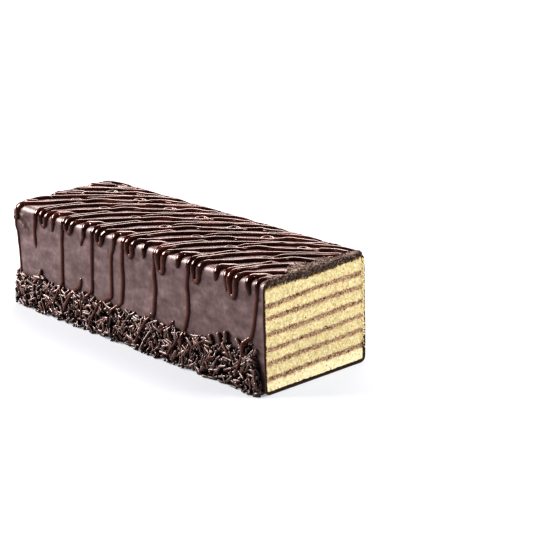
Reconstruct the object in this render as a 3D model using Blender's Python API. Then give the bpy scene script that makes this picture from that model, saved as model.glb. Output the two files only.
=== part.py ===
"""Seven layer cake: an oblong loaf cut across at one end.

Sponge layers and thin cream layers lie in turn, from the underside to the top. A chocolate coating covers
the top, the underside, both long sides and the far end, and is open where the loaf is cut. A band of
chocolate sprinkles clings to the foot of both long sides and of the far end.

Units are metres. +X runs along the loaf towards the cut, +Z is up, and the origin is the middle of the
whole cake's box, at its underside.
"""

import math

import bmesh
import bpy

# ---------------------------------------------------------------------------------------------------
# Driving dimensions
# ---------------------------------------------------------------------------------------------------

LOAF_LENGTH = 0.229  # coated loaf, from the far end to the cut
LOAF_WIDTH = 0.0755  # coated loaf, over both long sides
LOAF_HEIGHT = 0.064  # coated loaf, from the underside to the top

COAT_BASE = 0.0020  # coating under the lowest sponge
COAT_FRONT = 0.0015  # coating on the long side at -Y
COAT_BACK = 0.0022  # coating on the long side at +Y
COAT_END = 0.0022  # coating on the far end
TOP_EDGE_RADIUS = 0.0045  # rounding along the loaf's top edges
BASE_EDGE_RADIUS = 0.0036  # rounding along the loaf's lower edges
END_RADIUS = 0.0050  # rounding all round the far end
SIDE_SWELL = 0.0004  # how far the sides bulge at half height

SPONGE_THICKNESS = (0.0063, 0.0072, 0.0067, 0.0069, 0.0076, 0.0061, 0.0074)  # from the lowest layer up
CREAM_THICKNESS = 0.0016
LAYER_RISE = 0.0012  # how much higher the top layer lies at the +Y side than at the -Y side
LAYER_WAVE = 0.00035  # height of the layers' gentle waves
WAVE_LENGTH = 0.052  # length of those waves along the loaf
STACK_EDGE_RADIUS = 0.0018  # rounding of the lowest and the highest sponge's outer edge
STACK_CORNER_RADIUS = 0.0034  # rounding of the layers' corners in plan, at the far end

BAND_DEPTH = 0.0034  # how far the sprinkles stand out at the foot
BAND_HEIGHT = 0.0205  # usual height of the band's upper edge
BAND_RIPPLE = 0.0012  # small rises and falls of that edge
CUT_MARGIN = 0.0048  # bare coating beside the cut, above the foot of the long sides
FOOT_SPREAD = 0.0040  # how much of that margin the sprinkles fill at the very foot
FOOT_RISE = 0.0120  # height by which they have drawn back from it

GAP = 0.0003  # between pieces that touch

# ---------------------------------------------------------------------------------------------------
# Places worked out from them
# ---------------------------------------------------------------------------------------------------

HALF_WIDTH = LOAF_WIDTH / 2
X_CUT = (LOAF_LENGTH + BAND_DEPTH) / 2
X_END = X_CUT - LOAF_LENGTH

STACK_HALF = (LOAF_WIDTH - COAT_FRONT - COAT_BACK) / 2 - GAP
STACK_MIDDLE_Y = (COAT_FRONT - COAT_BACK) / 2
STACK_END_X = X_END + COAT_END + GAP

# The mounds along the band's upper edge: place along the loaf, extra height and half width.
FRONT_MOUNDS = (
    (-0.0885, 0.0058, 0.0048),
    (-0.0470, 0.0020, 0.0120),
    (0.0410, 0.0045, 0.0038),
    (0.0745, 0.0045, 0.0042),
    (0.0868, 0.0098, 0.0046),
    (0.1020, 0.0088, 0.0070),
)
BACK_MOUNDS = ((-0.0720, 0.0050, 0.0060), (-0.0120, 0.0066, 0.0050), (0.0580, 0.0075, 0.0080))


# ---------------------------------------------------------------------------------------------------
# Helpers
# ---------------------------------------------------------------------------------------------------


def material(name, colour, roughness):
    """A plain Principled material."""
    made = bpy.data.materials.new(name)
    made.use_nodes = True
    shader = made.node_tree.nodes["Principled BSDF"]
    shader.inputs["Base Color"].default_value = (*colour, 1.0)
    shader.inputs["Roughness"].default_value = roughness
    shader.inputs["Metallic"].default_value = 0.0
    return made


def add_object(name, bm, surface):
    """One closed body with its faces pointing out, as a named object."""
    bmesh.ops.recalc_face_normals(bm, faces=bm.faces)
    mesh = bpy.data.meshes.new(name)
    bm.to_mesh(mesh)
    bm.free()
    mesh.materials.append(surface)
    mesh.shade_smooth()
    mesh.set_sharp_from_angle(angle=math.radians(35))
    bpy.context.scene.collection.objects.link(bpy.data.objects.new(name, mesh))


def bridge(bm, ring_a, ring_b):
    """Joins two closed rings with the same number of points."""
    count = len(ring_a)
    for i in range(count):
        j = (i + 1) % count
        bm.faces.new((ring_a[i], ring_a[j], ring_b[j], ring_b[i]))


def rounding(radius, distance):
    """How far an edge rounded to a radius has pulled in, at a distance from its end."""
    if distance >= radius:
        return 0.0
    return radius - math.sqrt(radius * radius - (radius - distance) ** 2)


# ---------------------------------------------------------------------------------------------------
# The layers: sponge and cream
# ---------------------------------------------------------------------------------------------------

CORNER_STEPS = (0.0, 0.15, 0.5, 1.0)  # columns of points through the far corners, as parts of the radius
LONG_CELLS = 8  # cells along the straight part of a layer
CROSS_CELLS = 5  # cells across a layer


def boundary_heights():
    """The mean height of each boundary between layers, from the underside of the lowest sponge up."""
    heights = [COAT_BASE + GAP / 2]
    for index, thickness in enumerate(SPONGE_THICKNESS):
        heights.append(heights[-1] + thickness)
        if index < len(SPONGE_THICKNESS) - 1:
            heights.append(heights[-1] + CREAM_THICKNESS)
    return heights


HEIGHTS = boundary_heights()


def boundary(index, x, y):
    """The height of one boundary at a place in plan. Both faces of a cream layer wave alike."""
    if index == 0:
        return HEIGHTS[0]
    layer = (index + 1) // 2
    rise = LAYER_RISE * HEIGHTS[index] / LOAF_HEIGHT * y / LOAF_WIDTH
    along = math.sin(math.tau * x / WAVE_LENGTH + 2.1 * layer)
    across = math.sin(math.tau * y / LOAF_WIDTH + 1.3 * layer)
    return HEIGHTS[index] + rise + LAYER_WAVE * (0.6 * along + 0.4 * across)


def plan_grid(inset):
    """Columns of plan points from the far end to the cut, inset from the layers' full outline."""
    end_x = STACK_END_X + inset
    radius = max(STACK_CORNER_RADIUS - inset, 0.0005)
    straight = X_CUT - end_x - radius
    columns = [end_x + radius * step for step in CORNER_STEPS]
    columns += [end_x + radius + straight * (i + 1) / LONG_CELLS for i in range(LONG_CELLS)]
    grid = []
    for x in columns:
        half = STACK_HALF - inset - rounding(radius, x - end_x)
        row = [STACK_MIDDLE_Y + half * (2 * j / CROSS_CELLS - 1) for j in range(CROSS_CELLS + 1)]
        grid.append([(x, y) for y in row])
    return grid


def rim(grid):
    """The points round the edge of a grid, starting at its far corner at -Y and going to the cut first."""
    last = len(grid[0]) - 1
    edge = [column[0] for column in grid]
    edge += grid[-1][1:last]
    edge += [column[last] for column in reversed(grid)]
    edge += list(reversed(grid[0][1:last]))
    return edge


def face_grid(bm, grid):
    """Fills a grid of vertices with faces."""
    for i in range(len(grid) - 1):
        for j in range(len(grid[0]) - 1):
            bm.faces.new((grid[i][j], grid[i + 1][j], grid[i + 1][j + 1], grid[i][j + 1]))


def stack_body(bm, lower, upper, round_lower, round_upper, grow):
    """A closed body between two height functions, with the layers' outline in plan grown a little.

    Where an outer edge is rounded, the face there is inset, and rings of points lead round the edge.
    """
    inset_low = STACK_EDGE_RADIUS if round_lower else 0.0
    inset_high = STACK_EDGE_RADIUS if round_upper else 0.0
    halfway = STACK_EDGE_RADIUS * (1 - math.sqrt(0.5))

    low_grid = [[bm.verts.new((x, y, lower(x, y))) for x, y in column] for column in plan_grid(inset_low - grow)]
    high_grid = [[bm.verts.new((x, y, upper(x, y))) for x, y in column] for column in plan_grid(inset_high - grow)]
    rings = [rim(low_grid)]
    if round_lower:
        for inset, lift in ((halfway, halfway), (0.0, STACK_EDGE_RADIUS)):
            outline = rim(plan_grid(inset - grow))
            rings.append([bm.verts.new((x, y, lower(x, y) + lift)) for x, y in outline])
    if round_upper:
        for inset, drop in ((0.0, STACK_EDGE_RADIUS), (halfway, halfway)):
            outline = rim(plan_grid(inset - grow))
            rings.append([bm.verts.new((x, y, upper(x, y) - drop)) for x, y in outline])
    rings.append(rim(high_grid))

    face_grid(bm, low_grid)
    face_grid(bm, high_grid)
    for below, above in zip(rings, rings[1:]):
        bridge(bm, below, above)


def add_layers(sponge, cream):
    """Sponge and cream in turn, each its own body, with a hair's gap between neighbours."""
    top_index = len(HEIGHTS) - 1
    for index in range(top_index):
        is_sponge = index % 2 == 0
        name = f"{'sponge' if is_sponge else 'cream'}_{index // 2 + 1}"
        bm = bmesh.new()
        stack_body(
            bm,
            lower=lambda x, y: boundary(index, x, y) + GAP / 2,
            upper=lambda x, y: boundary(index + 1, x, y) - GAP / 2,
            round_lower=index == 0,
            round_upper=index + 1 == top_index,
            grow=0.0,
        )
        add_object(name, bm, sponge if is_sponge else cream)


# ---------------------------------------------------------------------------------------------------
# The chocolate coating
# ---------------------------------------------------------------------------------------------------

CORNER_SEGMENTS = 4  # straight pieces round each edge of the coating's section
TOP_PIECES = 6  # straight pieces across the top
SIDE_PIECES = 5  # straight pieces up each side
COAT_STATIONS = 9  # sections along the straight part of the coating
END_STEPS = 5  # sections round the far end


def swell(z):
    """How far a long side bulges at a height."""
    return SIDE_SWELL * math.sin(math.pi * z / LOAF_HEIGHT)


def coat_section(inset):
    """The coating's outline across the loaf, going round from the lower corner at -Y."""
    half = HALF_WIDTH - inset
    low = inset
    high = LOAF_HEIGHT - inset
    base_radius = max(BASE_EDGE_RADIUS - inset, 0.0004)
    top_radius = max(TOP_EDGE_RADIUS - inset, 0.0004)
    corners = (
        (half - base_radius, low + base_radius, base_radius, -90.0, SIDE_PIECES),
        (half - top_radius, high - top_radius, top_radius, 0.0, TOP_PIECES),
        (top_radius - half, high - top_radius, top_radius, 90.0, SIDE_PIECES),
        (base_radius - half, low + base_radius, base_radius, 180.0, 2),
    )
    outline = []
    for number, (y, z, radius, start, pieces) in enumerate(corners):
        arc = [math.radians(start + 90.0 * i / CORNER_SEGMENTS) for i in range(CORNER_SEGMENTS + 1)]
        outline += [(y + radius * math.cos(a), z + radius * math.sin(a)) for a in arc]
        next_y, next_z, next_radius, next_start, _ = corners[(number + 1) % len(corners)]
        turn = math.radians(next_start)
        goal = (next_y + next_radius * math.cos(turn), next_z + next_radius * math.sin(turn))
        begin = outline[-1]
        for i in range(1, pieces):
            part = i / pieces
            outline.append((begin[0] + (goal[0] - begin[0]) * part, begin[1] + (goal[1] - begin[1]) * part))
    return [(y + math.copysign(swell(z), y), z) for y, z in outline]


def add_coating(surface):
    """One shell round the layers, open at the cut, with its thickness showing there."""
    bm = bmesh.new()

    straight = LOAF_LENGTH - END_RADIUS
    stations = [(X_CUT - straight * i / COAT_STATIONS, 0.0) for i in range(COAT_STATIONS + 1)]
    for i in range(1, END_STEPS + 1):
        turn = math.radians(90.0 * i / END_STEPS)
        stations.append((X_END + END_RADIUS * (1 - math.sin(turn)), END_RADIUS * (1 - math.cos(turn))))
    sections = [[bm.verts.new((x, y, z)) for y, z in coat_section(inset)] for x, inset in stations]
    for near, far in zip(sections, sections[1:]):
        bridge(bm, near, far)
    bm.faces.new(sections[-1])

    top_index = len(HEIGHTS) - 1
    stack_body(
        bm,
        lower=lambda x, y: boundary(0, x, y) - GAP / 2,
        upper=lambda x, y: boundary(top_index, x, y) + GAP / 2,
        round_lower=True,
        round_upper=True,
        grow=GAP,
    )
    at_cut = [f for f in bm.faces if all(abs(v.co.x - X_CUT) < 1e-6 for v in f.verts)]
    bmesh.ops.delete(bm, geom=at_cut, context="FACES_ONLY")
    loose = [e for e in bm.edges if not e.link_faces]
    bmesh.ops.delete(bm, geom=loose, context="EDGES")
    open_edges = [e for e in bm.edges if len(e.link_faces) == 1]
    bmesh.ops.triangle_fill(bm, use_beauty=True, use_dissolve=False, edges=open_edges)
    bmesh.ops.triangulate(bm, faces=[f for f in bm.faces if len(f.verts) > 4])
    add_object("coating", bm, surface)


# ---------------------------------------------------------------------------------------------------
# The sprinkle bands
# ---------------------------------------------------------------------------------------------------

STRAIGHT_STATIONS = 30  # sections of the band along a long side
CORNER_STATIONS = 3  # sections through half a corner
END_STATIONS = 9  # sections along the far end's straight part

# The heap's section: part of its depth and part of its height, from the foot outside to the top inside.
HEAP_SECTION = ((1.0, 0.0), (0.94, 0.28), (0.74, 0.62), (0.52, 0.90), (0.30, 1.0))


def mound_height(x, mounds):
    """The upper edge of the band at a place along the loaf."""
    height = BAND_HEIGHT + BAND_RIPPLE * math.sin(210.0 * x) * math.cos(87.0 * x + 1.0)
    for centre, extra, half_width in mounds:
        height += extra * math.exp(-(((x - centre) / half_width) ** 2))
    return height


def side_route(side):
    """Stations along a long side: from the cut to the middle of the far corner, as place and outward way."""
    begin = X_CUT - CUT_MARGIN
    turn_x = X_END + END_RADIUS
    route = []
    for i in range(STRAIGHT_STATIONS + 1):
        x = begin + (turn_x - begin) * i / STRAIGHT_STATIONS
        route.append((x, side * HALF_WIDTH, 0.0, side))
    for i in range(1, CORNER_STATIONS + 1):
        turn = math.radians(45.0 * i / CORNER_STATIONS)
        out = (-math.sin(turn), side * math.cos(turn))
        middle_y = side * (HALF_WIDTH - END_RADIUS)
        route.append((turn_x + END_RADIUS * out[0], middle_y + END_RADIUS * out[1], *out))
    return route


def end_route():
    """Stations round the far end, from the middle of one corner to the middle of the other."""
    turn_x = X_END + END_RADIUS
    route = []
    for i in range(CORNER_STATIONS + 1):
        turn = math.radians(45.0 + 45.0 * i / CORNER_STATIONS)
        out = (-math.sin(turn), -math.cos(turn))
        route.append((turn_x + END_RADIUS * out[0], END_RADIUS - HALF_WIDTH + END_RADIUS * out[1], *out))
    mirrored = [(x, -y, out_x, -out_y) for x, y, out_x, out_y in reversed(route)]
    reach = HALF_WIDTH - END_RADIUS
    for i in range(1, END_STATIONS):
        route.append((X_END, reach * (2 * i / END_STATIONS - 1), -1.0, 0.0))
    return route + mirrored


def add_band(name, route, height_at, trim, spread, surface):
    """A heap that leans on the coating along a route.

    trim pulls both ends back from a neighbour, and spread draws the foot of the first section out.
    """
    bm = bmesh.new()
    sections = []
    for number, (x, y, out_x, out_y) in enumerate(route):
        height = height_at(x, y)
        depth = BAND_DEPTH * (0.9 + 0.1 * math.sin(1.9 * number))
        inward = (out_y, -out_x) if number == 0 else (-out_y, out_x)
        pulled = trim if number in (0, len(route) - 1) else 0.0
        outline = [(GAP, 0.0)]
        outline += [(GAP + (depth - GAP) * part, height * lift) for part, lift in HEAP_SECTION]
        outline += [(GAP, height), (GAP, height / 2)]
        ring = []
        for away, z in outline:
            reach = away + swell(z)
            drawn = spread * max(0.0, 1 - z / FOOT_RISE) if number == 0 else 0.0
            place_x = x + out_x * reach + inward[0] * pulled + drawn
            place_y = y + out_y * reach + inward[1] * pulled
            ring.append(bm.verts.new((place_x, place_y, z)))
        sections.append(ring)
    for near, far in zip(sections, sections[1:]):
        bridge(bm, near, far)
    bm.faces.new(sections[0])
    bm.faces.new(sections[-1])
    bmesh.ops.triangulate(bm, faces=[f for f in bm.faces if len(f.verts) > 4])
    add_object(name, bm, surface)


def add_bands(surface):
    """The sprinkles on the two long sides and on the far end."""
    front = side_route(-1.0)
    back = side_route(1.0)
    add_band("sprinkles_front", front, lambda x, y: mound_height(x, FRONT_MOUNDS), 0.0, FOOT_SPREAD, surface)
    add_band("sprinkles_back", back, lambda x, y: mound_height(x, BACK_MOUNDS), 0.0, FOOT_SPREAD, surface)
    add_band("sprinkles_end", end_route(), lambda x, y: mound_height(y, ()), GAP, 0.0, surface)


# ---------------------------------------------------------------------------------------------------
# The cake
# ---------------------------------------------------------------------------------------------------


def main():
    for old in list(bpy.data.objects):
        bpy.data.objects.remove(old, do_unlink=True)
    sponge = material("sponge", (0.82, 0.64, 0.26), 0.85)
    cream = material("cream", (0.30, 0.17, 0.12), 0.70)
    chocolate = material("chocolate", (0.075, 0.036, 0.032), 0.38)
    sprinkles = material("sprinkles", (0.085, 0.045, 0.035), 0.45)
    add_layers(sponge, cream)
    add_coating(chocolate)
    add_bands(sprinkles)


main()
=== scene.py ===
"""Looks of the seven layer cake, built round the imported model.

Every length is in millimetres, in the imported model's own frame, until a mesh is made. +X runs along the loaf
towards the cut, the long side that the camera sees is at -Y, and +Z is up.
"""

import math

import bmesh
import bpy
import numpy as np
from mathutils import Matrix, Vector


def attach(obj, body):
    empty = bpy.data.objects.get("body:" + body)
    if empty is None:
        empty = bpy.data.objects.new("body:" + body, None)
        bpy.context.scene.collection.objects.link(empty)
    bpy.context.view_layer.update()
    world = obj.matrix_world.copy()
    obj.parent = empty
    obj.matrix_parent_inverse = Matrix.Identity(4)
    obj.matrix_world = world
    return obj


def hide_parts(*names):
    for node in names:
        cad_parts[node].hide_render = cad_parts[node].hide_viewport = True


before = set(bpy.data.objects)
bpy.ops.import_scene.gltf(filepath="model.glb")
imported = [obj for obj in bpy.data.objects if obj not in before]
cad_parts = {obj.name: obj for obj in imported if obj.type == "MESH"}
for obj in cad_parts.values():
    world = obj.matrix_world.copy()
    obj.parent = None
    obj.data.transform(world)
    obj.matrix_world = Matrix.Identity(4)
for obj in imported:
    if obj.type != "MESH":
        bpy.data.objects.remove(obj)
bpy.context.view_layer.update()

MM = 0.001


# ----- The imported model's own dimensions -----

LOAF_LENGTH = 229.0
LOAF_WIDTH = 75.5
LOAF_HEIGHT = 64.0
COAT_BASE = 2.0
COAT_FRONT = 1.5
COAT_BACK = 2.2
COAT_END = 2.2
TOP_EDGE_RADIUS = 4.5
BASE_EDGE_RADIUS = 3.6
END_RADIUS = 5.0
SIDE_SWELL = 0.4
SPONGE_THICKNESS = (6.3, 7.2, 6.7, 6.9, 7.6, 6.1, 7.4)
CREAM_THICKNESS = 1.6
LAYER_RISE = 1.2
LAYER_WAVE = 0.35
WAVE_LENGTH = 52.0
STACK_EDGE_RADIUS = 1.8
BAND_DEPTH = 3.4
BAND_HEIGHT = 20.5
BAND_RIPPLE = 1.2
CUT_MARGIN = 4.8
GAP = 0.3
FRONT_MOUNDS = (
    (-88.5, 5.8, 4.8),
    (-47.0, 2.0, 12.0),
    (41.0, 4.5, 3.8),
    (74.5, 4.5, 4.2),
    (86.8, 9.8, 4.6),
    (102.0, 8.8, 7.0),
)
BACK_MOUNDS = ((-72.0, 5.0, 6.0), (-12.0, 6.6, 5.0), (58.0, 7.5, 8.0))
# The narrow mounds are made up by single sprinkles that stand out of the heap, so the heap rises less there.
HEAP_MOUNDS = [(place, extra * min(1.0, (half / 7.0) ** 2), half) for place, extra, half in FRONT_MOUNDS]
HEAP_SECTION = ((0.0, 1.0), (0.28, 0.94), (0.62, 0.74), (0.90, 0.52), (1.0, 0.30))

HALF_WIDTH = LOAF_WIDTH / 2
X_CUT = (LOAF_LENGTH + BAND_DEPTH) / 2
X_END = X_CUT - LOAF_LENGTH
STACK_HALF = (LOAF_WIDTH - COAT_FRONT - COAT_BACK) / 2 - GAP
STACK_MIDDLE_Y = (COAT_FRONT - COAT_BACK) / 2
STACK_END_X = X_END + COAT_END + GAP


def boundary_heights():
    """The mean height of each boundary between layers, from the underside of the lowest sponge up."""
    heights = [COAT_BASE + GAP / 2]
    for index, thickness in enumerate(SPONGE_THICKNESS):
        heights.append(heights[-1] + thickness)
        if index < len(SPONGE_THICKNESS) - 1:
            heights.append(heights[-1] + CREAM_THICKNESS)
    return heights


HEIGHTS = boundary_heights()
LAST_BOUNDARY = len(HEIGHTS) - 1


def boundary(index, x, y):
    """The height of one boundary between layers at places in plan."""
    if index == 0:
        return HEIGHTS[0] + 0.0 * y
    layer = (index + 1) // 2
    rise = LAYER_RISE * HEIGHTS[index] / LOAF_HEIGHT * y / LOAF_WIDTH
    along = np.sin(math.tau * x / WAVE_LENGTH + 2.1 * layer)
    across = np.sin(math.tau * y / LOAF_WIDTH + 1.3 * layer)
    return HEIGHTS[index] + rise + LAYER_WAVE * (0.6 * along + 0.4 * across)


def swell(z):
    """How far a long side bulges at a height."""
    return SIDE_SWELL * np.sin(math.pi * np.clip(z / LOAF_HEIGHT, 0.0, 1.0))


def mound_height(place, mounds):
    """The upper edge of a sprinkle band at a place along it."""
    height = BAND_HEIGHT + BAND_RIPPLE * math.sin(0.210 * place) * math.cos(0.087 * place + 1.0)
    for centre, extra, half_width in mounds:
        height += extra * math.exp(-(((place - centre) / half_width) ** 2))
    return height


def rounding(radius, distance):
    """How far an edge rounded to a radius has pulled in, at distances from its end."""
    left = np.clip(radius - distance, 0.0, radius)
    return radius - np.sqrt(radius * radius - left * left)


# ----- Helpers: noise, meshes, materials -----


class Noise:
    """Smooth value noise between -1 and 1 on a seeded lattice."""

    SIZE = 8192
    FOLDS = (73856093, 19349663, 83492791)

    def __init__(self, seed):
        self.values = np.random.default_rng(seed).uniform(-1.0, 1.0, self.SIZE)

    def __call__(self, points, feature):
        scaled = np.asarray(points, float) / feature
        cell = np.floor(scaled).astype(np.int64)
        part = scaled - cell
        part = part * part * (3.0 - 2.0 * part)
        total = 0.0
        for corner in range(8):
            step = np.array([corner & 1, (corner >> 1) & 1, (corner >> 2) & 1])
            key = np.bitwise_xor.reduce((cell + step) * self.FOLDS, axis=-1)
            weight = np.prod(np.where(step == 1, part, 1.0 - part), axis=-1)
            total = total + weight * self.values[key % self.SIZE]
        return total

    def mixed(self, points, *terms):
        """A sum of noises, each given as its strength, the size of its features and a shift of the points."""
        return sum(strength * self(points + shift, feature) for strength, feature, shift in terms)


def smooth_step(low, high, value):
    part = np.clip((value - low) / (high - low), 0.0, 1.0)
    return part * part * (3.0 - 2.0 * part)


def hump(value, place, half_width):
    """A smooth hump, 1 high at its place."""
    return np.exp(-(((value - place) / half_width) ** 2))


def points_at(x, y, z):
    """Points from their coordinates, each an array or a number."""
    return np.stack(np.broadcast_arrays(x, y, z), axis=-1)


def grid_faces(rows, columns, start=0, closed=False):
    """The quads of a grid of points, row by row; closed joins the last column to the first."""
    faces = []
    for i in range(rows - 1):
        for j in range(columns if closed else columns - 1):
            k = (j + 1) % columns
            a, b = start + i * columns, start + (i + 1) * columns
            faces.append((a + j, a + k, b + k, b + j))
    return faces


def tube_faces(rows, columns):
    """The faces of a tube of points, ring by ring, with both its ends closed."""
    faces = grid_faces(rows, columns, closed=True)
    faces.append(list(range(columns - 1, -1, -1)))
    faces.append(list(range((rows - 1) * columns, rows * columns)))
    return faces


def outer_ring(rows, columns):
    """The outermost points of a grid, in their order round it."""
    ring = list(range(columns))
    ring += [i * columns + columns - 1 for i in range(1, rows)]
    ring += [(rows - 1) * columns + j for j in range(columns - 2, -1, -1)]
    return ring + [i * columns for i in range(rows - 2, 0, -1)]


def add_piece(name, points, faces, surface, replaced=(), attributes=None, sharp=None):
    """A mesh piece from points in millimetres, with its faces turned out, riding on the cake."""
    mesh = bpy.data.meshes.new(name)
    mesh.from_pydata((np.asarray(points, float) * MM).tolist(), [], faces)
    for key, values in (attributes or {}).items():
        layer = mesh.attributes.new(key, "FLOAT", "POINT")
        layer.data.foreach_set("value", np.asarray(values, np.float32))
    mesh.materials.append(surface)
    mesh.shade_smooth()
    if sharp is not None:
        mesh.set_sharp_from_angle(angle=math.radians(sharp))
    piece = bpy.data.objects.new(name, mesh)
    bpy.context.scene.collection.objects.link(piece)
    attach(piece, "root")
    if replaced:
        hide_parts(*replaced)
    return piece


class Surface:
    """A node material with a Principled shader, and short ways to add its nodes."""

    def __init__(self, name, **inputs):
        self.material = bpy.data.materials.new(name)
        self.material.use_nodes = True
        self.tree = self.material.node_tree
        self.shader = self.tree.nodes["Principled BSDF"]
        self.shade(**inputs)
        self.place = self.tree.nodes.new("ShaderNodeTexCoord").outputs["Object"]

    def feed(self, node, inputs):
        """The node, once each of its inputs is linked to a socket or set to a value."""
        for key, value in inputs.items():
            if isinstance(value, bpy.types.NodeSocket):
                self.tree.links.new(value, node.inputs[key])
            else:
                node.inputs[key].default_value = value
        return node

    def add(self, kind, inputs):
        return self.feed(self.tree.nodes.new(kind), inputs)

    def shade(self, **inputs):
        """The shader's own inputs, with _ for each space in their names."""
        self.feed(self.shader, {key.replace("_", " "): value for key, value in inputs.items()})

    def noise(self, feature, detail=2.0, stretch=(1.0, 1.0, 1.0), offset=0.0):
        """Noise with features of about that many millimetres, stretched along the axes."""
        scale, location = [1.0 / s for s in stretch], (offset, offset, offset)
        where = {"Vector": self.place, "Scale": scale, "Location": location}
        place = self.add("ShaderNodeMapping", where).outputs["Vector"]
        inputs = {"Vector": place, "Scale": 1.0 / (feature * MM), "Detail": detail}
        return self.add("ShaderNodeTexNoise", inputs).outputs["Fac"]

    def spots(self, feature, low, high, most=1.0, detail=2.0, **where):
        """Spots where noise rises from low to high, and the most that they cover."""
        return self.scale(self.noise(feature, detail, **where), low, high, 0.0, most)

    def attribute(self, name):
        node = self.tree.nodes.new("ShaderNodeAttribute")
        node.attribute_name = name
        return node.outputs["Fac"]

    def ramp(self, value, *stops):
        """A colour ramp with stops of (place, colour)."""
        node = self.add("ShaderNodeValToRGB", {"Fac": value})
        elements = node.color_ramp.elements
        while len(elements) < len(stops):
            elements.new(0.5)
        for element, (place, colour) in zip(elements, stops):
            element.position = place
            element.color = (*colour, 1.0)
        return node.outputs["Color"]

    def scale(self, value, low, high, to_low=0.0, to_high=1.0):
        """A value carried from one range to another, and kept inside it."""
        inputs = {"Value": value, "From Min": low, "From Max": high, "To Min": to_low, "To Max": to_high}
        return self.add("ShaderNodeMapRange", inputs).outputs["Result"]

    def mix(self, share, first, second):
        """Two colours mixed; a colour is a socket or three numbers."""
        node = self.tree.nodes.new("ShaderNodeMix")
        node.data_type = "RGBA"
        first, second = ((*tone, 1.0) if isinstance(tone, tuple) else tone for tone in (first, second))
        return self.feed(node, {0: share, 6: first, 7: second}).outputs[2]

    def blend(self, share, first, second):
        """Two numbers mixed."""
        return self.add("ShaderNodeMix", {0: share, 2: first, 3: second}).outputs[0]

    def combine(self, operation, first, second):
        """Two numbers put together by an operation."""
        node = self.tree.nodes.new("ShaderNodeMath")
        node.operation = operation
        return self.feed(node, {0: first, 1: second}).outputs[0]

    def cover(self, tone, *coats):
        """The shader's colour: a tone with each coat, given as its share and its own tone, laid over it."""
        for share, coat in coats:
            tone = self.mix(share, tone, coat)
        self.shade(Base_Color=tone)

    def bump(self, feature, detail, distance, strength):
        """Fine relief from noise, as high as that distance."""
        inputs = {"Height": self.noise(feature, detail), "Distance": distance * MM, "Strength": strength}
        self.shade(Normal=self.add("ShaderNodeBump", inputs).outputs["Normal"])


# ----- Materials -----


def sponge_surface(name, pale, tan):
    """Pale yellow crumb: painted darker in its pores as shade, stained beside the filling, with greenish tan
    specks.
    """
    made = Surface(name, Roughness=0.85, Specular_IOR_Level=0.25)
    fine = made.spots(1.0, 0.36, 0.64, detail=3.0)
    golden = made.spots(6.0, 0.38, 0.62, 0.45, 3.0, offset=3.0)
    white = made.spots(1.8, 0.55, 0.66, 0.55, offset=14.0)
    speck = made.spots(1.6, 0.62, 0.70, 0.6, 1.0, offset=9.0)
    # Painted shade: the crumb is darker where it lies deep in a pore.
    pore_shade = made.scale(made.attribute("pore_shade"), 0.0, 1.0, 0.0, 0.25)
    stain = made.mix(fine, (0.32, 0.20, 0.11), (0.64, 0.49, 0.30))
    toast = made.mix(fine, (0.085, 0.036, 0.016), (0.38, 0.205, 0.085))
    made.cover(
        made.mix(fine, tan, pale),
        (golden, (0.80, 0.64, 0.36)),
        (white, (0.87, 0.80, 0.54)),
        (speck, (0.38, 0.26, 0.11)),
        (pore_shade, (0.50, 0.36, 0.15)),
        (made.attribute("stain"), stain),
        (made.attribute("toast"), toast),
    )
    made.bump(0.5, 3.0, 0.16, 0.5)
    return made.material


def cream_surface():
    """Mauve-brown filling with darker and paler crumb dragged along it."""
    made = Surface("cream", Roughness=0.7, Specular_IOR_Level=0.3)
    fine = made.spots(0.8, 0.35, 0.65, detail=3.0)
    dark = made.spots(1.4, 0.55, 0.66, 0.75, offset=4.0)
    made.cover(
        made.mix(fine, (0.27, 0.155, 0.102), (0.56, 0.395, 0.275)),
        (dark, (0.115, 0.055, 0.030)),
        (made.attribute("stain"), made.mix(fine, (0.42, 0.28, 0.155), (0.74, 0.58, 0.36))),
    )
    made.bump(0.5, 3.0, 0.25, 0.7)
    return made.material


def coat_surface():
    """Satin chocolate coating with faint smears, dry and matt where it is broken, its grey-mauve partly
    painted sheen.
    """
    made = Surface("chocolate_coat", Roughness=0.42, Specular_IOR_Level=0.3)
    made.shade(Specular_Tint=(1.0, 0.8, 0.76, 1.0))
    smear = made.spots(6.0, 0.30, 0.70, detail=5.0, stretch=(1.4, 1.0, 0.9))
    streak = made.spots(1.6, 0.30, 0.70, 0.35, 4.0, stretch=(1.0, 1.0, 3.0), offset=11.0)
    mottle = made.spots(2.2, 0.38, 0.66, 0.5, offset=5.0)
    crumb = made.spots(0.8, 0.35, 0.65, detail=3.0, offset=2.0)
    broken = made.attribute("rough_part")
    made.cover(
        # The grey-mauve of these tones is partly the coating's own colour and partly painted sheen, standing
        # in for the pale floor's reflection on the sides.
        made.mix(smear, (0.053, 0.032, 0.032), (0.150, 0.107, 0.106)),
        (streak, (0.066, 0.044, 0.046)),
        (mottle, (0.058, 0.037, 0.038)),
        # Painted shade in the folds.
        (made.attribute("fold_shade"), (0.030, 0.013, 0.012)),
        (broken, made.mix(crumb, (0.018, 0.009, 0.006), (0.070, 0.040, 0.028))),
    )
    gloss = made.scale(made.noise(6.0, 3.0, stretch=(1.5, 1.0, 1.0), offset=7.0), 0.3, 0.7, 0.40, 0.52)
    gloss = made.blend(made.attribute("on_top"), gloss, 0.42)
    made.shade(Roughness=made.combine("MAXIMUM", gloss, made.scale(broken, 0.0, 1.0, 0.0, 0.85)))
    made.bump(2.4, 4.0, 0.16, 0.7)
    return made.material


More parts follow.
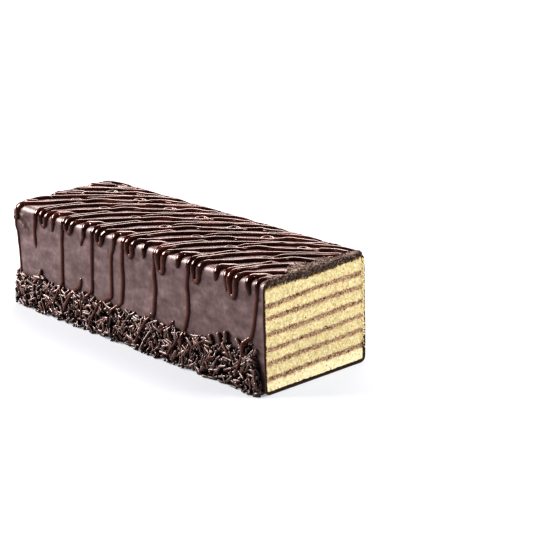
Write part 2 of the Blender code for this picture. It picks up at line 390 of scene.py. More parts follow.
def drizzle_surface():
    """Glossy, almost black chocolate strands, painted a little paler where they hang, as painted light."""
    made = Surface("chocolate_drizzle", Roughness=0.2, Specular_IOR_Level=0.3)
    made.shade(Specular_Tint=(1.0, 0.64, 0.55, 1.0))
    thin = made.spots(14.0, 0.42, 0.70)
    hanging = made.attribute("hanging")
    dark = made.mix(thin, (0.014, 0.004, 0.003), (0.046, 0.014, 0.010))
    # Painted light: where the strands hang down the side they are paler, as if lit by the low key light,
    # though they are the same chocolate.
    made.cover(dark, (hanging, (0.060, 0.025, 0.021)))
    gloss = made.scale(made.noise(5.0, offset=6.0), 0.3, 0.7, 0.12, 0.22)
    made.shade(Roughness=made.blend(hanging, gloss, 0.22))
    made.bump(2.5, 1.0, 0.05, 0.4)
    return made.material


def sprinkle_surface():
    """Chocolate sprinkles, no two quite the same brown; the tone also carries painted shade."""
    made = Surface("chocolate_sprinkles", Roughness=0.45, Specular_Tint=(1.0, 0.87, 0.84, 1.0))
    tone = made.attribute("tone")
    # The low tones, near black and without gloss, are painted shade for the core and the sprinkles deep in the
    # heap.
    brown = made.ramp(
        tone,
        (0.0, (0.003, 0.002, 0.001)),
        (0.6, (0.058, 0.026, 0.021)),
        (1.0, (0.158, 0.088, 0.071)),
    )
    made.cover(brown, (made.spots(1.5, 0.3, 0.7, 0.4), (0.02, 0.010, 0.008)))
    made.shade(Specular_IOR_Level=made.scale(tone, 0.02, 0.20, 0.0, 0.72))
    made.bump(0.6, 2.0, 0.05, 0.5)
    return made.material


def fleck_surface():
    """Crumbs of chocolate in the filling."""
    made = Surface("chocolate_fleck", Roughness=0.8, Specular_IOR_Level=0.2)
    made.cover(made.mix(made.spots(1.2, 0.3, 0.7), (0.075, 0.038, 0.018), (0.25, 0.145, 0.070)))
    return made.material


def rubble_surface():
    """The dry, broken coating along the cut."""
    made = Surface("chocolate_rubble", Roughness=0.8, Specular_IOR_Level=0.3)
    fine = made.spots(0.9, 0.38, 0.62, detail=4.0)
    dark = made.spots(4.0, 0.45, 0.66, 0.85, 3.0, offset=8.0)
    made.cover(made.mix(fine, (0.026, 0.015, 0.012), (0.215, 0.150, 0.122)), (dark, (0.052, 0.031, 0.026)))
    made.bump(0.6, 3.0, 0.3, 0.9)
    return made.material


# ----- The cut face: sponge and cream -----

CUT_CELL = 0.26  # size of the cells on the cut face
CRUMB_PROUD = 0.28  # how far the crumb stands out past the cut plane before its relief is taken off
CREAM_SUNK = 0.15  # how far the filling lies behind the crumb
BODY_STATIONS = (X_CUT - 2.0, X_CUT - 26.0, X_CUT - 80.0, X_CUT - 140.0, STACK_END_X)
FACE_SMEAR = 0.38  # how far the filling is smeared over the crumb at the cut
# How far each line of filling, and the topmost sponge's upper side, sits above its mean course at the cut.
SHIFT_PLACES = (-33.0, 0.0, 20.0, 36.0)
LINE_SHIFTS = (
    (0.0, 0.4, 0.8, 1.0),
    (0.0, 0.5, 1.0, 1.4),
    (-1.0, 0.1, 0.6, 1.0),
    (-0.3, 0.2, 0.8, 1.0),
    (-0.3, 0.1, 0.1, 0.3),
    (-1.5, 0.0, 0.3, 0.3),
    (2.0, 0.4, 1.9, 2.2),
)
STAIN_REACH = 1.25  # how far from the filling the crumb beside it is stained
OVER_RIM = 1.4  # how far the crumb hides the coating's broken edge at +Y
OVER_FRONT_RIM = 0.6  # and at -Y
STAIN_STRENGTH, STAIN_STRENGTH_BELOW = 0.75, 0.62  # below is for crumb under a line of filling
TOAST_DEPTH, TOAST_DEPTH_LEFT = 1.3, 2.2  # how far down the top crust is brown, and how much farther at -Y
crumb_noise = Noise(11)
edge_noise = Noise(12)


def cut_relief(y, z):
    """How far the crumb stands back from the cut plane, and how deep in a pore each point is."""
    at = points_at(0.0, y, z)
    pores = smooth_step(0.20, 0.60, crumb_noise(at, 1.05))
    small = smooth_step(0.05, 0.55, crumb_noise(at + 40.0, 0.62))
    uneven = crumb_noise.mixed(at, (0.04, 0.42, 80.0), (0.16, 9.0, 120.0))
    return 0.09 * pores + 0.06 * small + uneven, np.clip(pores + 0.6 * small, 0.0, 1.0)


def ragged(index, y):
    """The uneven course of a boundary between layers on the cut face."""
    return edge_noise.mixed(points_at(7.3 * index, y, 0.0), (0.34, 3.4, 0.0), (0.42, 1.0, 50.0))


def line_shift(index, y):
    """How far a boundary sits above its mean course on the cut face."""
    if index == 0:
        return 0.0 * y
    return np.interp(y, SHIFT_PLACES, LINE_SHIFTS[(index - 1) // 2])


def face_boundary(index, y):
    """A boundary between layers where it shows on the cut: the knife has smeared the filling."""
    smear = 0.0
    if 0 < index < LAST_BOUNDARY:
        smear = FACE_SMEAR if index % 2 == 0 else -FACE_SMEAR
    uneven = ragged(index, y) * (1.0 if index else 0.4)
    return boundary(index, X_CUT, y) + line_shift(index, y) + uneven + smear


def layer_front(index):
    """The grid of points on the cut face for the layer above one boundary."""
    share = np.linspace(-1.0, 1.0, round(2 * STACK_HALF / CUT_CELL) + 1)
    mean_y = STACK_MIDDLE_Y + STACK_HALF * share
    low, high = face_boundary(index, mean_y), face_boundary(index + 1, mean_y)
    rows = max(3, round(float(np.mean(high - low)) / CUT_CELL))
    z = low + (high - low) * np.linspace(0.0, 1.0, rows + 1)[:, None]
    from_edge = np.minimum(z - HEIGHTS[0], HEIGHTS[LAST_BOUNDARY] - z)
    half = STACK_HALF - 0.35 * rounding(STACK_EDGE_RADIUS, from_edge)
    at = points_at(0.0, np.sign(share) * 20.0, z)
    frayed = edge_noise.mixed(at, (0.32, 1.1, 90.0), (0.2, 0.5, 70.0))
    over_rim = OVER_RIM * smooth_step(9.0, 26.0, z) * smooth_step(HEIGHTS[LAST_BOUNDARY] + 1.0, 57.0, z)
    over_rim = over_rim * (1.0 + 0.5 * edge_noise(at + 30.0, 2.4))
    frayed = frayed + np.where(share > 0.0, over_rim, OVER_FRONT_RIM)
    return STACK_MIDDLE_Y + (half + frayed * np.abs(share) ** 30) * share, z


def add_body(index, points, faces, rows, columns):
    """A layer's plain body, added behind the edge of its cut face."""
    before = np.array(outer_ring(rows, columns))
    edge_y, edge_z = points[0][before, 1], points[0][before, 2]
    low, high = boundary(index, X_CUT, edge_y), boundary(index + 1, X_CUT, edge_y)
    share = np.clip((edge_z - low) / (high - low), 0.0, 1.0)
    edge_y = np.clip(edge_y, STACK_MIDDLE_Y - STACK_HALF, STACK_MIDDLE_Y + STACK_HALF)
    count = rows * columns
    for station in BODY_STATIONS:
        low = boundary(index, station, edge_y) + GAP / 2
        high = boundary(index + 1, station, edge_y) - GAP / 2
        points.append(points_at(station, edge_y, low + (high - low) * share))
        now = np.arange(count, count + len(before))
        count += len(before)
        faces += np.stack([before, now, np.roll(now, -1), np.roll(before, -1)], axis=-1).tolist()
        before = now
    faces.append(before[::-1].tolist())


def add_layer(index, surface):
    """One layer: a crumbly face at the cut, and a plain body back to the far end."""
    is_cream = index % 2 == 1
    y, z = layer_front(index)
    # How deep in a pore each point lies also sets the painted shade in the pores.
    depth, pore_shade = cut_relief(y, z)
    x = X_CUT + CRUMB_PROUD - depth - (CREAM_SUNK if is_cream else 0.0)
    points = [points_at(x, y, z).reshape(-1, 3)]
    faces = grid_faces(*z.shape)
    add_body(index, points, faces, *z.shape)

    patches = edge_noise.mixed(points[0], (1.0, 1.8, 0.0), (0.6, 0.8, 20.0)).reshape(z.shape)
    stain_reach = np.maximum(STAIN_REACH * (1.0 + 0.7 * patches) * (0.6 if is_cream else 1.0), 0.15)
    stain, toast = np.zeros_like(z), np.zeros_like(z)
    for side, height in ((index, z[0]), (index + 1, z[-1])):
        if 0 < side < LAST_BOUNDARY:
            strength = STAIN_STRENGTH if is_cream or side == index else STAIN_STRENGTH_BELOW
            stain = np.maximum(stain, strength * smooth_step(stain_reach, 0.0, np.abs(z - height)))
    if index + 1 == LAST_BOUNDARY:
        top = boundary(LAST_BOUNDARY, X_CUT, y) + line_shift(LAST_BOUNDARY, y)
        reach = TOAST_DEPTH + TOAST_DEPTH_LEFT * smooth_step(-20.0, -34.0, y) + 0.9 * patches
        toast = 0.9 * smooth_step(reach, 0.15 * reach, top - z)
    points = np.concatenate(points)
    marks = {}
    for key, values in (("pore_shade", pore_shade), ("toast", toast), ("stain", stain)):
        marks[key] = np.zeros(len(points))
        marks[key][: z.size] = values.ravel()

    kind = "cream" if is_cream else "sponge"
    name = f"{kind}_{index // 2 + 1}"
    add_piece(f"cut_{name}", points, faces, surface, (name,), marks)


def add_layers():
    sponge = sponge_surface("sponge", (0.75, 0.665, 0.40), (0.52, 0.435, 0.225))
    lowest = sponge_surface("sponge_lowest", (0.97, 0.90, 0.62), (0.86, 0.76, 0.50))
    surfaces = [lowest] + [cream_surface(), sponge] * (len(SPONGE_THICKNESS) - 1)
    for index, surface in enumerate(surfaces):
        add_layer(index, surface)


# ----- The coating -----

STATION_STEP = 1.3  # between sections along the loaf
END_RINGS = 12  # rings of points that close the far end
END_STEPS = 8  # sections round the far end's edge
RIM_RINGS = 5  # rings of points between the coating's outer and inner edge at the cut
SECTION_PIECES = (90, 60, 90, 34)  # pieces of the outline: up the +Y side, top, -Y side, underside
CORNER_PIECES = 8
SMEAR_LENGTH = 18.0  # the wrinkled smear at the top of the front's far end
coat_noise = Noise(21)


def outline(y_low, y_high, z_low, z_high, base_radius, top_radius):
    """A rounded rectangle as points, with the same number of points whatever its size."""
    corners = (
        (y_high - base_radius, z_low + base_radius, base_radius, -90.0),
        (y_high - top_radius, z_high - top_radius, top_radius, 0.0),
        (y_low + top_radius, z_high - top_radius, top_radius, 90.0),
        (y_low + base_radius, z_low + base_radius, base_radius, 180.0),
    )
    points = []
    for number, (y, z, radius, start) in enumerate(corners):
        turns = np.radians(start + 90.0 * np.arange(CORNER_PIECES + 1) / CORNER_PIECES)
        points += [(y + radius * math.cos(t), z + radius * math.sin(t)) for t in turns]
        next_y, next_z, next_radius, next_start = corners[(number + 1) % 4]
        turn = math.radians(next_start)
        goal = np.array([next_y + next_radius * math.cos(turn), next_z + next_radius * math.sin(turn)])
        begin = np.array(points[-1])
        pieces = SECTION_PIECES[number]
        points += [tuple(begin + (goal - begin) * i / pieces) for i in range(1, pieces)]
    return np.array(points)


def coat_section(inset):
    """The coating's outline across the loaf, drawn in by an inset."""
    half = HALF_WIDTH - inset
    base, top = (max(radius - inset, 0.4) for radius in (BASE_EDGE_RADIUS, TOP_EDGE_RADIUS))
    section = outline(-half, half, inset, LOAF_HEIGHT - inset, base, top)
    section[:, 0] += np.sign(section[:, 0]) * swell(section[:, 1])
    return section


def coat_relief(points):
    """How far the coating stands out, and how deep in a fold it is, which sets painted shade there: slow
    waves, and a wrinkled smear.
    """
    x, y, z = points[..., 0], points[..., 1], points[..., 2]
    on_side = smooth_step(-HALF_WIDTH + 2.0, -HALF_WIDTH, y)
    upper = smooth_step(44.0, 54.0, z) * smooth_step(61.0, 58.0, z)
    fine = coat_noise(points + 30.0, 3.0)
    waves = coat_noise.mixed(points, (0.16, 14.0, 0.0), (0.07, 5.0, 60.0)) + (0.02 + 0.20 * upper) * fine
    bulge = 0.5 * hump(z, 46.0, 9.0) * smooth_step(-104.0, -112.0, x)
    smear = smooth_step(-94.0, -99.0, x) * smooth_step(45.0, 51.0, z) * smooth_step(60.0, 57.0, z) * on_side
    slope = points_at(0.35 * x - 0.25 * z, y, z + 0.75 * x)
    wrinkle = 1.0 - 3.2 * np.abs(coat_noise(slope + 15.0, 4.2))
    raised = smear * (0.85 * np.clip(wrinkle, 0.0, 1.0) + 0.25 * coat_noise(points + 45.0, 2.2))
    crinkle = smooth_step(0.10, 0.60, fine * coat_noise(points + 75.0, 9.0) * 2.0)
    # Painted shade: darker in the smear's wrinkle valleys, and in crinkled patches below the top edge of the
    # side.
    fold_shade = 0.95 * smear * smooth_step(0.45, -0.30, wrinkle) + 0.55 * upper * on_side * crinkle
    return waves + bulge + raised, np.clip(fold_shade, 0.0, 1.0)


def grid_normals(points):
    """Outward normals of a grid of points whose columns go round a section."""
    along = np.gradient(points, axis=0)
    round_it = np.roll(points, -1, axis=1) - np.roll(points, 1, axis=1)
    normal = np.cross(along, round_it)
    return normal / np.maximum(np.linalg.norm(normal, axis=-1, keepdims=True), 1e-9)


def coat_places():
    """Each section's place and inset: closer along the smear, and drawn in round the far end's edge."""
    coarse = LOAF_LENGTH - END_RADIUS - SMEAR_LENGTH
    steps, fine_steps = round(coarse / STATION_STEP), round(2 * SMEAR_LENGTH / STATION_STEP)
    places = [(X_CUT - coarse * i / steps, 0.0) for i in range(steps)]
    places += [(X_CUT - coarse - SMEAR_LENGTH * i / fine_steps, 0.0) for i in range(fine_steps + 1)]
    for i in range(1, END_STEPS + 1):
        turn = math.radians(90.0 * i / END_STEPS)
        places.append((X_END + END_RADIUS * (1 - math.sin(turn)), END_RADIUS * (1 - math.cos(turn))))
    return places


def coat_outside():
    """The coating's outside as rings of points from the cut to the middle of the far end, and the painted
    shade of its folds.
    """
    places = coat_places()
    rings = [points_at(x, *coat_section(inset).T) for x, inset in places]
    last, middle = rings[-1], np.array([X_END, 0.0, LOAF_HEIGHT / 2])
    rings += [middle + (last - middle) * (1 - i / END_RINGS) for i in range(1, END_RINGS)]
    outside = np.array(rings)
    normals = grid_normals(outside)
    normals[len(places) - 1 :] = (-1.0, 0.0, 0.0)
    lift, fold_shade = coat_relief(outside)
    lift = lift * (1 - smooth_step(1.2, 0.2, outside[..., 2]))
    outside = outside + normals * lift[..., None]
    outside[..., 2] = np.maximum(outside[..., 2], 0.0)
    return outside, fold_shade


def coat_inner():
    """The coating's inner edge at the cut, which follows the layers."""
    y_low, y_high = STACK_MIDDLE_Y - STACK_HALF - GAP / 2, STACK_MIDDLE_Y + STACK_HALF + GAP / 2
    z_high = HEIGHTS[LAST_BOUNDARY] + GAP / 2
    y, z = outline(y_low, y_high, COAT_BASE, z_high, STACK_EDGE_RADIUS, STACK_EDGE_RADIUS).T
    z = z + LAYER_RISE * y / LOAF_WIDTH * z / LOAF_HEIGHT * smooth_step(8.0, 30.0, z)
    z = z + line_shift(LAST_BOUNDARY, y) * smooth_step(50.0, 58.0, z)
    return points_at(X_CUT, y, z)


def coat_rim(outer, inner):
    """Rings of points over the coating's broken rim at the cut, from its outside in."""
    rim = []
    for i in range(1, RIM_RINGS + 1):
        share = i / (RIM_RINGS + 1)
        ring = outer + (inner - outer) * share
        on_top = smooth_step(57.0, 61.0, ring[:, 2])
        rough = coat_noise.mixed(ring, (0.5, 1.3, 33.0), (0.3, 0.6, 66.0))
        ring[:, 0] = X_CUT + (0.06 + 0.40 * on_top) * rough - 0.1 * math.sin(math.pi * share)
        rim.append(ring)
    return rim


def add_coating(surface):
    """A shell round the layers: its inside, its broken rim at the cut, and its outside."""
    outside, fold_shade = coat_outside()
    inner = coat_inner()
    tunnel_near, tunnel_far = inner.copy(), inner.copy()
    tunnel_near[:, 0] = X_CUT - 2.0
    tunnel_far[:, 0] = X_END + COAT_END
    body = np.array([tunnel_far, tunnel_near, inner, *coat_rim(outside[0], inner)[::-1], *outside])
    faces = [face[::-1] for face in tube_faces(*body.shape[:2])]
    points = body.reshape(-1, 3)
    first_outside = len(points) - fold_shade.size
    marks = {
        "rough_part": np.where(np.arange(len(points)) < first_outside, 1.0, 0.0),
        "on_top": smooth_step(LOAF_HEIGHT - TOP_EDGE_RADIUS - 1.0, LOAF_HEIGHT - 2.0, points[:, 2]),
        # Painted shade in the folds of the smear and the crinkles under the top edge.
        "fold_shade": np.concatenate([np.zeros(first_outside), fold_shade.ravel()]),
    }
    add_piece("coating_shell", points, faces, surface, ("coating",), marks, sharp=50)


# ----- The broken strip on top, along the cut, and the crumbs -----

STRIP_CELL = 0.38
STRIP_DEPTH = 14.0
STRIP_THICKNESS = 1.2
STRIP_ROWS = 11  # rows of points down the strip's broken face
# How far the broken strip reaches back from the cut, at places across the loaf.
STRIP_REACH = (
    (-36.0, 0.8),
    (-18.0, 1.0),
    (-14.0, 5.0),
    (-9.5, 9.6),
    (1.0, 10.4),
    (2.4, 5.4),
    (7.0, 6.2),
    (9.5, 8.4),
    (14.5, 8.0),
    (16.2, 1.8),
    (20.0, 1.2),
    (24.0, 3.2),
    (29.0, 3.6),
    (36.0, 2.4),
)
strip_noise = Noise(31)


def strip_width(y):
    """How far the broken strip reaches back from the cut."""
    places, reaches = zip(*STRIP_REACH)
    uneven = strip_noise.mixed(points_at(0.0, y, 0.0), (0.6, 4.0, 0.0), (0.6, 1.6, 30.0))
    return np.interp(y, places, reaches) + uneven


def strip_top(y, shoulder):
    """The strip's upper side as rows of points, from its back to the cut."""
    rise = 0.10 + 0.90 * smooth_step(-20.0, -12.0, y)
    rows = []
    for distance in np.arange(STRIP_DEPTH, 0.0, -STRIP_CELL):
        at = points_at(X_CUT - distance, y, 0.0)
        mask = smooth_step(1.2, -1.2, distance - strip_width(y))
        lumps = 0.5 + 0.6 * strip_noise(at + 9.0, 3.6) + 0.7 * smooth_step(24.0, 30.0, y)
        fine = strip_noise.mixed(at, (0.60, 1.5, 19.0), (0.35, 0.8, 29.0))
        height = LOAF_HEIGHT - shoulder + mask * (0.05 + rise * (0.10 + lumps + fine)) - (1 - mask) * 0.9
        rows.append(points_at(X_CUT - distance, y, height))
    return rows


def strip_face(y, shoulder, corner):
    """The strip's broken face as rows of points, from the corner down over the edge of the topmost sponge."""
    lowest = face_boundary(LAST_BOUNDARY, y) - 0.15 - 0.2 * shoulder
    lowest = lowest + strip_noise.mixed(points_at(0.0, y, 70.0), (0.45, 1.7, 0.0), (0.3, 0.8, 9.0))
    rows = []
    for i in range(STRIP_ROWS):
        share = i / (STRIP_ROWS - 1)
        row = corner.copy()
        row[:, 2] = (corner[:, 2] - 0.2) * (1 - share) + lowest * share
        rough = strip_noise.mixed(row, (0.7, 1.6, 39.0), (0.45, 0.8, 49.0))
        row[:, 0] = X_CUT + 0.22 + 0.38 * rough * (1 - 0.6 * share) - 0.02 * share
        rows.append(row)
    return rows


def add_strip(surface):
    """Lumps of dry coating over the top's edge at the cut."""
    y = np.linspace(-HALF_WIDTH + 1.6, HALF_WIDTH - 1.4, round((LOAF_WIDTH - 3.0) / STRIP_CELL) + 1)
    shoulder = rounding(TOP_EDGE_RADIUS, HALF_WIDTH - np.abs(y))
    rows = strip_top(y, shoulder)
    rows += strip_face(y, shoulder, rows[-1])
    rows.append(rows[-1] - (STRIP_THICKNESS, 0.0, 0.0))
    upper = np.array(rows)
    under = upper.copy()
    under[..., 2] = np.minimum(upper[..., 2] - 0.8, LOAF_HEIGHT - 1.9 - shoulder)
    under[-STRIP_ROWS - 1 :, :, 0] -= 1.0
    under[-STRIP_ROWS - 1 :, :, 2] = upper[-STRIP_ROWS - 1 :, :, 2]
    shape = upper.shape[:2]
    start = shape[0] * shape[1]
    faces = [face[::-1] for face in grid_faces(*shape)] + grid_faces(*shape, start)
    ring = outer_ring(*shape)
    faces += [(a, b, start + b, start + a) for a, b in zip(ring, ring[1:] + ring[:1])]
    points = np.concatenate([upper.reshape(-1, 3), under.reshape(-1, 3)])
    add_piece("cut_rubble", points, faces, surface)


def crumb_shape():
    """A small rough ball as points and faces."""
    bm = bmesh.new()
    bmesh.ops.create_icosphere(bm, subdivisions=1, radius=1.0)
    points = np.array([v.co[:] for v in bm.verts])
    faces = np.array([[v.index for v in f.verts] for f in bm.faces])
    bm.free()
    return points, faces


def add_crumbs(name, crumbs, surface, seed):
    """Many small crumbs, each a centre and a size, as one joined mesh."""
    ball, ball_faces = crumb_shape()
    random = np.random.default_rng(seed)
    points, faces = [], []
    for number, (*centre, size) in enumerate(crumbs):
        lumps = 1.0 + random.uniform(-0.32, 0.32, (len(ball), 1))
        squash = random.uniform(0.6, 1.15, 3)
        points.append(centre + ball * lumps * squash * size)
        faces.append(ball_faces + number * len(ball))
    points, faces = np.concatenate(points), np.concatenate(faces).tolist()
    marks = {key: np.zeros(len(points)) for key in ("pore_shade", "toast", "stain")}
    add_piece(name, points, faces, surface, attributes=marks)


def edge_drop(y):
    """How far the top has rounded down at a place across the loaf."""
    return float(rounding(TOP_EDGE_RADIUS, HALF_WIDTH - abs(y)))


def crumb_on_strip(random):
    y = random.uniform(-HALF_WIDTH + 2.5, HALF_WIDTH - 2.5)
    raised = float(smooth_step(-20.0, -12.0, y))
    reach = float(strip_width(np.array([y]))[0]) + 0.2 + 1.0 * raised
    distance = random.uniform(0.0, 1.0) ** 1.1 * reach
    size = 0.22 + 0.75 * random.beta(1.2, 2.6)
    return X_CUT - distance, y, LOAF_HEIGHT - edge_drop(y) + random.uniform(0.0, 0.2 + 0.7 * raised), size


def crumb_on_strip_face(random):
    y = random.uniform(-HALF_WIDTH + 2.6, HALF_WIDTH - 2.4)
    low = float(face_boundary(LAST_BOUNDARY, np.array([y]))[0])
    z = low - 0.9 + (LOAF_HEIGHT - edge_drop(y) - low + 0.9) * random.beta(1.0, 1.3)
    return X_CUT + random.uniform(0.15, 0.5), y, z, random.uniform(0.16, 0.5)


def crumb_right(random):
    z = 8.0 + (HEIGHTS[LAST_BOUNDARY] - 7.2) * random.beta(1.7, 1.0)
    y = STACK_MIDDLE_Y + STACK_HALF + random.triangular(-0.6, 1.2, 2.2)
    return X_CUT + random.uniform(-0.05, 0.35), y, z, random.uniform(0.2, 0.6)


def crumb_left(random):
    z = random.uniform(4.0, HEIGHTS[LAST_BOUNDARY])
    y = STACK_MIDDLE_Y - STACK_HALF + random.uniform(-0.5, 0.4)
    return X_CUT + random.uniform(-0.05, 0.15), y, z, random.uniform(0.15, 0.35)


def crumb_on_face(random):
    y = random.uniform(-STACK_HALF, STACK_HALF)
    z = random.uniform(HEIGHTS[0] + 1, HEIGHTS[LAST_BOUNDARY] - 0.4)
    return X_CUT + random.uniform(-0.15, 0.12), y, z, random.uniform(0.15, 0.36)


def fleck_in_cream(random):
    """A dark fleck in a line of cream, or nothing where that line has few."""
    index = int(random.integers(0, 6)) * 2 + 1
    y = STACK_MIDDLE_Y + random.uniform(-STACK_HALF, STACK_HALF) * 0.985
    low = float(boundary(index, X_CUT, y) + line_shift(index, y))
    if edge_noise(np.array([0.0, y, 7.0 * index]), 5.0) < 0.9 * random.uniform(-1.0, 1.0) + y / 90.0:
        return None
    z = low + random.normal(1.5, 0.7)
    return X_CUT + random.uniform(0.0, 0.3), y, z, random.uniform(0.14, 0.42)


# Each heap of crumbs: piece, slot, seed, and how many of each kind are tried.
CRUMBS = (
    ("cut_crumbs_chocolate", "chocolate", 6, ((crumb_on_strip, 1100), (crumb_on_strip_face, 420))),
    ("cut_crumbs_sponge", "sponge", 7, ((crumb_right, 420), (crumb_left, 60), (crumb_on_face, 420))),
    ("cut_flecks", "chocolate", 8, ((fleck_in_cream, 1300),)),
)


def scatter_crumbs(*surfaces):
    """Chocolate crumbs on the strip, sponge crumbs on the cut and over its rim, dark flecks in the cream."""
    random = np.random.default_rng(5)
    for surface, (name, slot, seed, kinds) in zip(surfaces, CRUMBS):
        tried = [make(random) for make, amount in kinds for _ in range(amount)]
        add_crumbs(name, [crumb for crumb in tried if crumb], surface, seed)


# ----- The drizzle -----

# A strand's course is given on the unrolled coating: u along the loaf, v across it. v is y on the flat top,
# and runs on past the rounded edge and down the side.
FLAT_HALF = HALF_WIDTH - TOP_EDGE_RADIUS
EDGE_ARC = TOP_EDGE_RADIUS * math.pi / 2
STRAND_HALF_WIDTH = 1.8
STRAND_HEIGHT = 1.9
STRAND_SINK = 0.3
HIGHEST_STRAND = 2.15  # the most that a strand's section is high, however wide it is
STRAND_SIDES = 14
ROUND_END = 1.3  # a rounded end's length for each half width
STRAND_STEP = 0.75
FADE_LENGTH = 8.0  # over which a strand's free end sinks into the glaze
OVER_HEAP = 1.7  # how far a strand stands out past the mean surface of the sprinkles that it runs over
FAR_REACH = 9.0  # how far past the top a strand that is no drip runs at the far end
THINNER_ON_HEAP = {"drip": 0.50, "blob": 0.50, "tail": 0.25}
JITTER, SMALL_JITTER, DRIP_JITTER = 0.175, 0.15, 0.1  # how unlike each other the repeats are
PERIOD = 29.1
ANCHORS = (-147.7, -118.6, -89.5, -61.3, -32.2, -3.2, 26.0, 55.0, 85.1, 110.3, 139.4)

# Each front drip runs down from a strand's end: steps along the loaf from the anchor, and heights.
LONG_DRIPS = {
    2: ((-0.5, 58), (-2.0, 50), (-1.6, 42), (-1.2, 37.3)),
    3: (
        (-0.8, 58), (-1.8, 50), (-2.5, 39), (-3.2, 28),
        (-3.9, 21.5), (-7.5, 13.4), (-14.2, 7.8), (-16.4, 4.6),
    ),
    4: ((-0.6, 58), (-1.6, 48.5), (-2.4, 34), (-3.2, 25.2), (-6.5, 20.5), (-9.8, 14.2), (-10.2, 6)),
    5: ((-0.8, 58), (-1.6, 48.5), (-1.4, 38.8), (-2.9, 29), (-4.2, 24.2), (-9, 20.2), (-11.4, 16.2)),
    6: ((-0.6, 57), (-1.3, 48.5), (-1, 38.8), (-2.5, 26), (-4.8, 23.4), (-9.8, 16.6), (-13, 11), (-16.2, 6)),
    7: ((-0.2, 57), (-1.6, 48.5), (-0.8, 43.6), (-0.9, 34), (-2.9, 27.2), (-5.0, 20.5), (-4.2, 13.8)),
    8: ((2.0, 60), (1.8, 55), (1.6, 50.4)),
    9: ((1.4, 57), (-0.4, 43.6), (-2.4, 36), (-4.4, 31), (-7.4, 27.6), (-8, 21), (-10.5, 15), (-13.6, 8.5)),
}
THIN_DRIP = 9  # the one long drip that is thinner than the rest
SHORT_DRIPS = {
    2: ((18.0, 60), (16.9, 56), (16.3, 52.9)),
    3: ((20.4, 60), (19.6, 57), (16.4, 50.4)),
    4: (
        (20.4, 60), (19.4, 57), (17, 48.5), (16.4, 29), (15, 25.2),
        (7.0, 20.6), (3.2, 14.2), (-1.3, 7.4), (-2.8, 3.6),
    ),
    5: ((19.5, 60), (19.0, 58), (18.0, 55.3)),
    6: ((20.4, 60), (19.8, 58), (19.4, 56.3)),
    7: ((23.6, 60), (23.0, 58), (22.8, 56.3)),
    8: ((19.4, 60), (19.8, 58), (20.4, 54.3)),
}
# Threads of glaze over the front's sprinkles, as places and heights; the first is the widest.
TAILS = (
    ((-45.2, 31.0), (-47.0, 25.0), (-51.5, 21.0), (-57.5, 12.6), (-60.0, 7.6)),
    ((41.5, 25.2), (38.2, 22.0), (31.7, 17.4)),
    ((47.5, 17.9), (45.6, 13.8), (41.8, 9.2), (38.8, 4.2)),
    ((72.5, 22.4), (65.0, 18.1), (60.5, 14.6), (59.4, 10.2)),
    ((72.0, 10.0), (75.0, 12.5), (80.0, 14.8)),
)
# The loops that hang over the front edge: place of the lowest point past the anchor, and its height.
LOOPS = {
    1: (7.0, 56.0), 2: (7.5, 55.3), 3: (5.5, 56.7), 4: (6.2, 55.8),
    5: (5.8, 54.3), 6: (4.8, 50.9), 7: (6.7, 52.8), 8: (7.0, 50.9),
}
USUAL_LOOP = (7.0, 55.0)
LOOP_TOP = 60.0
# What repeats on the top, at an anchor: steps along the loaf from it, and places across.
FROM_DRIP = (
    (1.2, -36.0), (2.2, -33), (3.4, -29), (5.3, -23.7),
    (8.3, -15.6), (10.8, -10.4), (12.4, -7.8), (12.9, -5.6),
)
FROM_BLOB = ((0.6, -33.6), (2.2, -32.3), (4.6, -30.0), (7.4, -27.0), (10.0, -24.0))
TO_BACK = (
    (6.0, -32.8), (8.0, -27), (10.6, -21.1), (13.5, -16), (17.9, -10.6), (22.4, -5.3), (28.4, 0.2),
    (37.8, 9.0), (45, 14.8), (53.6, 21.4), (59.5, 26.4), (65.5, 31.6), (70.5, 35.5),
)
LOW_HOOK = (
    (5.6, -9.4), (8.4, -6.4), (10, -3.3), (11.6, -0.6), (13.9, 1.9),
    (16.8, 3.8), (20.0, 4.9), (23.4, 6.3), (28, 9.4),
)
HIGH_HOOK = (
    (5.2, 14.6), (8.4, 16.2), (10.2, 18.6), (11.2, 21.4), (13.4, 24.5), (17.3, 27), (21.6, 28.3),
    (26.4, 29.6), (31, 32.4), (35.3, 34.6),
)
BAND = (
    (12.6, -34.4), (14.6, -32.6), (17.3, -30.0), (20.2, -26.8), (23.3, -23.0), (27.0, -18), (30.0, -13.8),
)
MIDDLE = ((-0.4, -5.0), (3.2, -1.6), (6.4, 2.0), (9.2, 5.6), (12.4, 9.2), (18.8, 15.4), (25.6, 21.0))
BACK = ((1.0, 24.2), (6.0, 27.6), (12.2, 31.2), (18.7, 34.2), (25.4, 36.2), (31, 36.6), (35.6, 34.8))
EYELETS = (
    (
        (10.4, -8.6), (7.4, -10.0), (4.4, -11.6), (1.4, -12.2), (-0.9, -11.0), (-2.0, -8.6), (-0.8, -6.2),
        (2.2, -5.2), (5.7, -5.6), (9.0, -6.6), (12.6, -7.0),
    ),
    (
        (11.0, 17.4), (8.0, 16.0), (4.8, 14.2), (2.0, 13.8), (0.0, 15.4), (-0.8, 18.2), (0.4, 20.8),
        (3.0, 21.6), (6.4, 20.6), (9.8, 19.6), (13.0, 19.2),
    ),
)
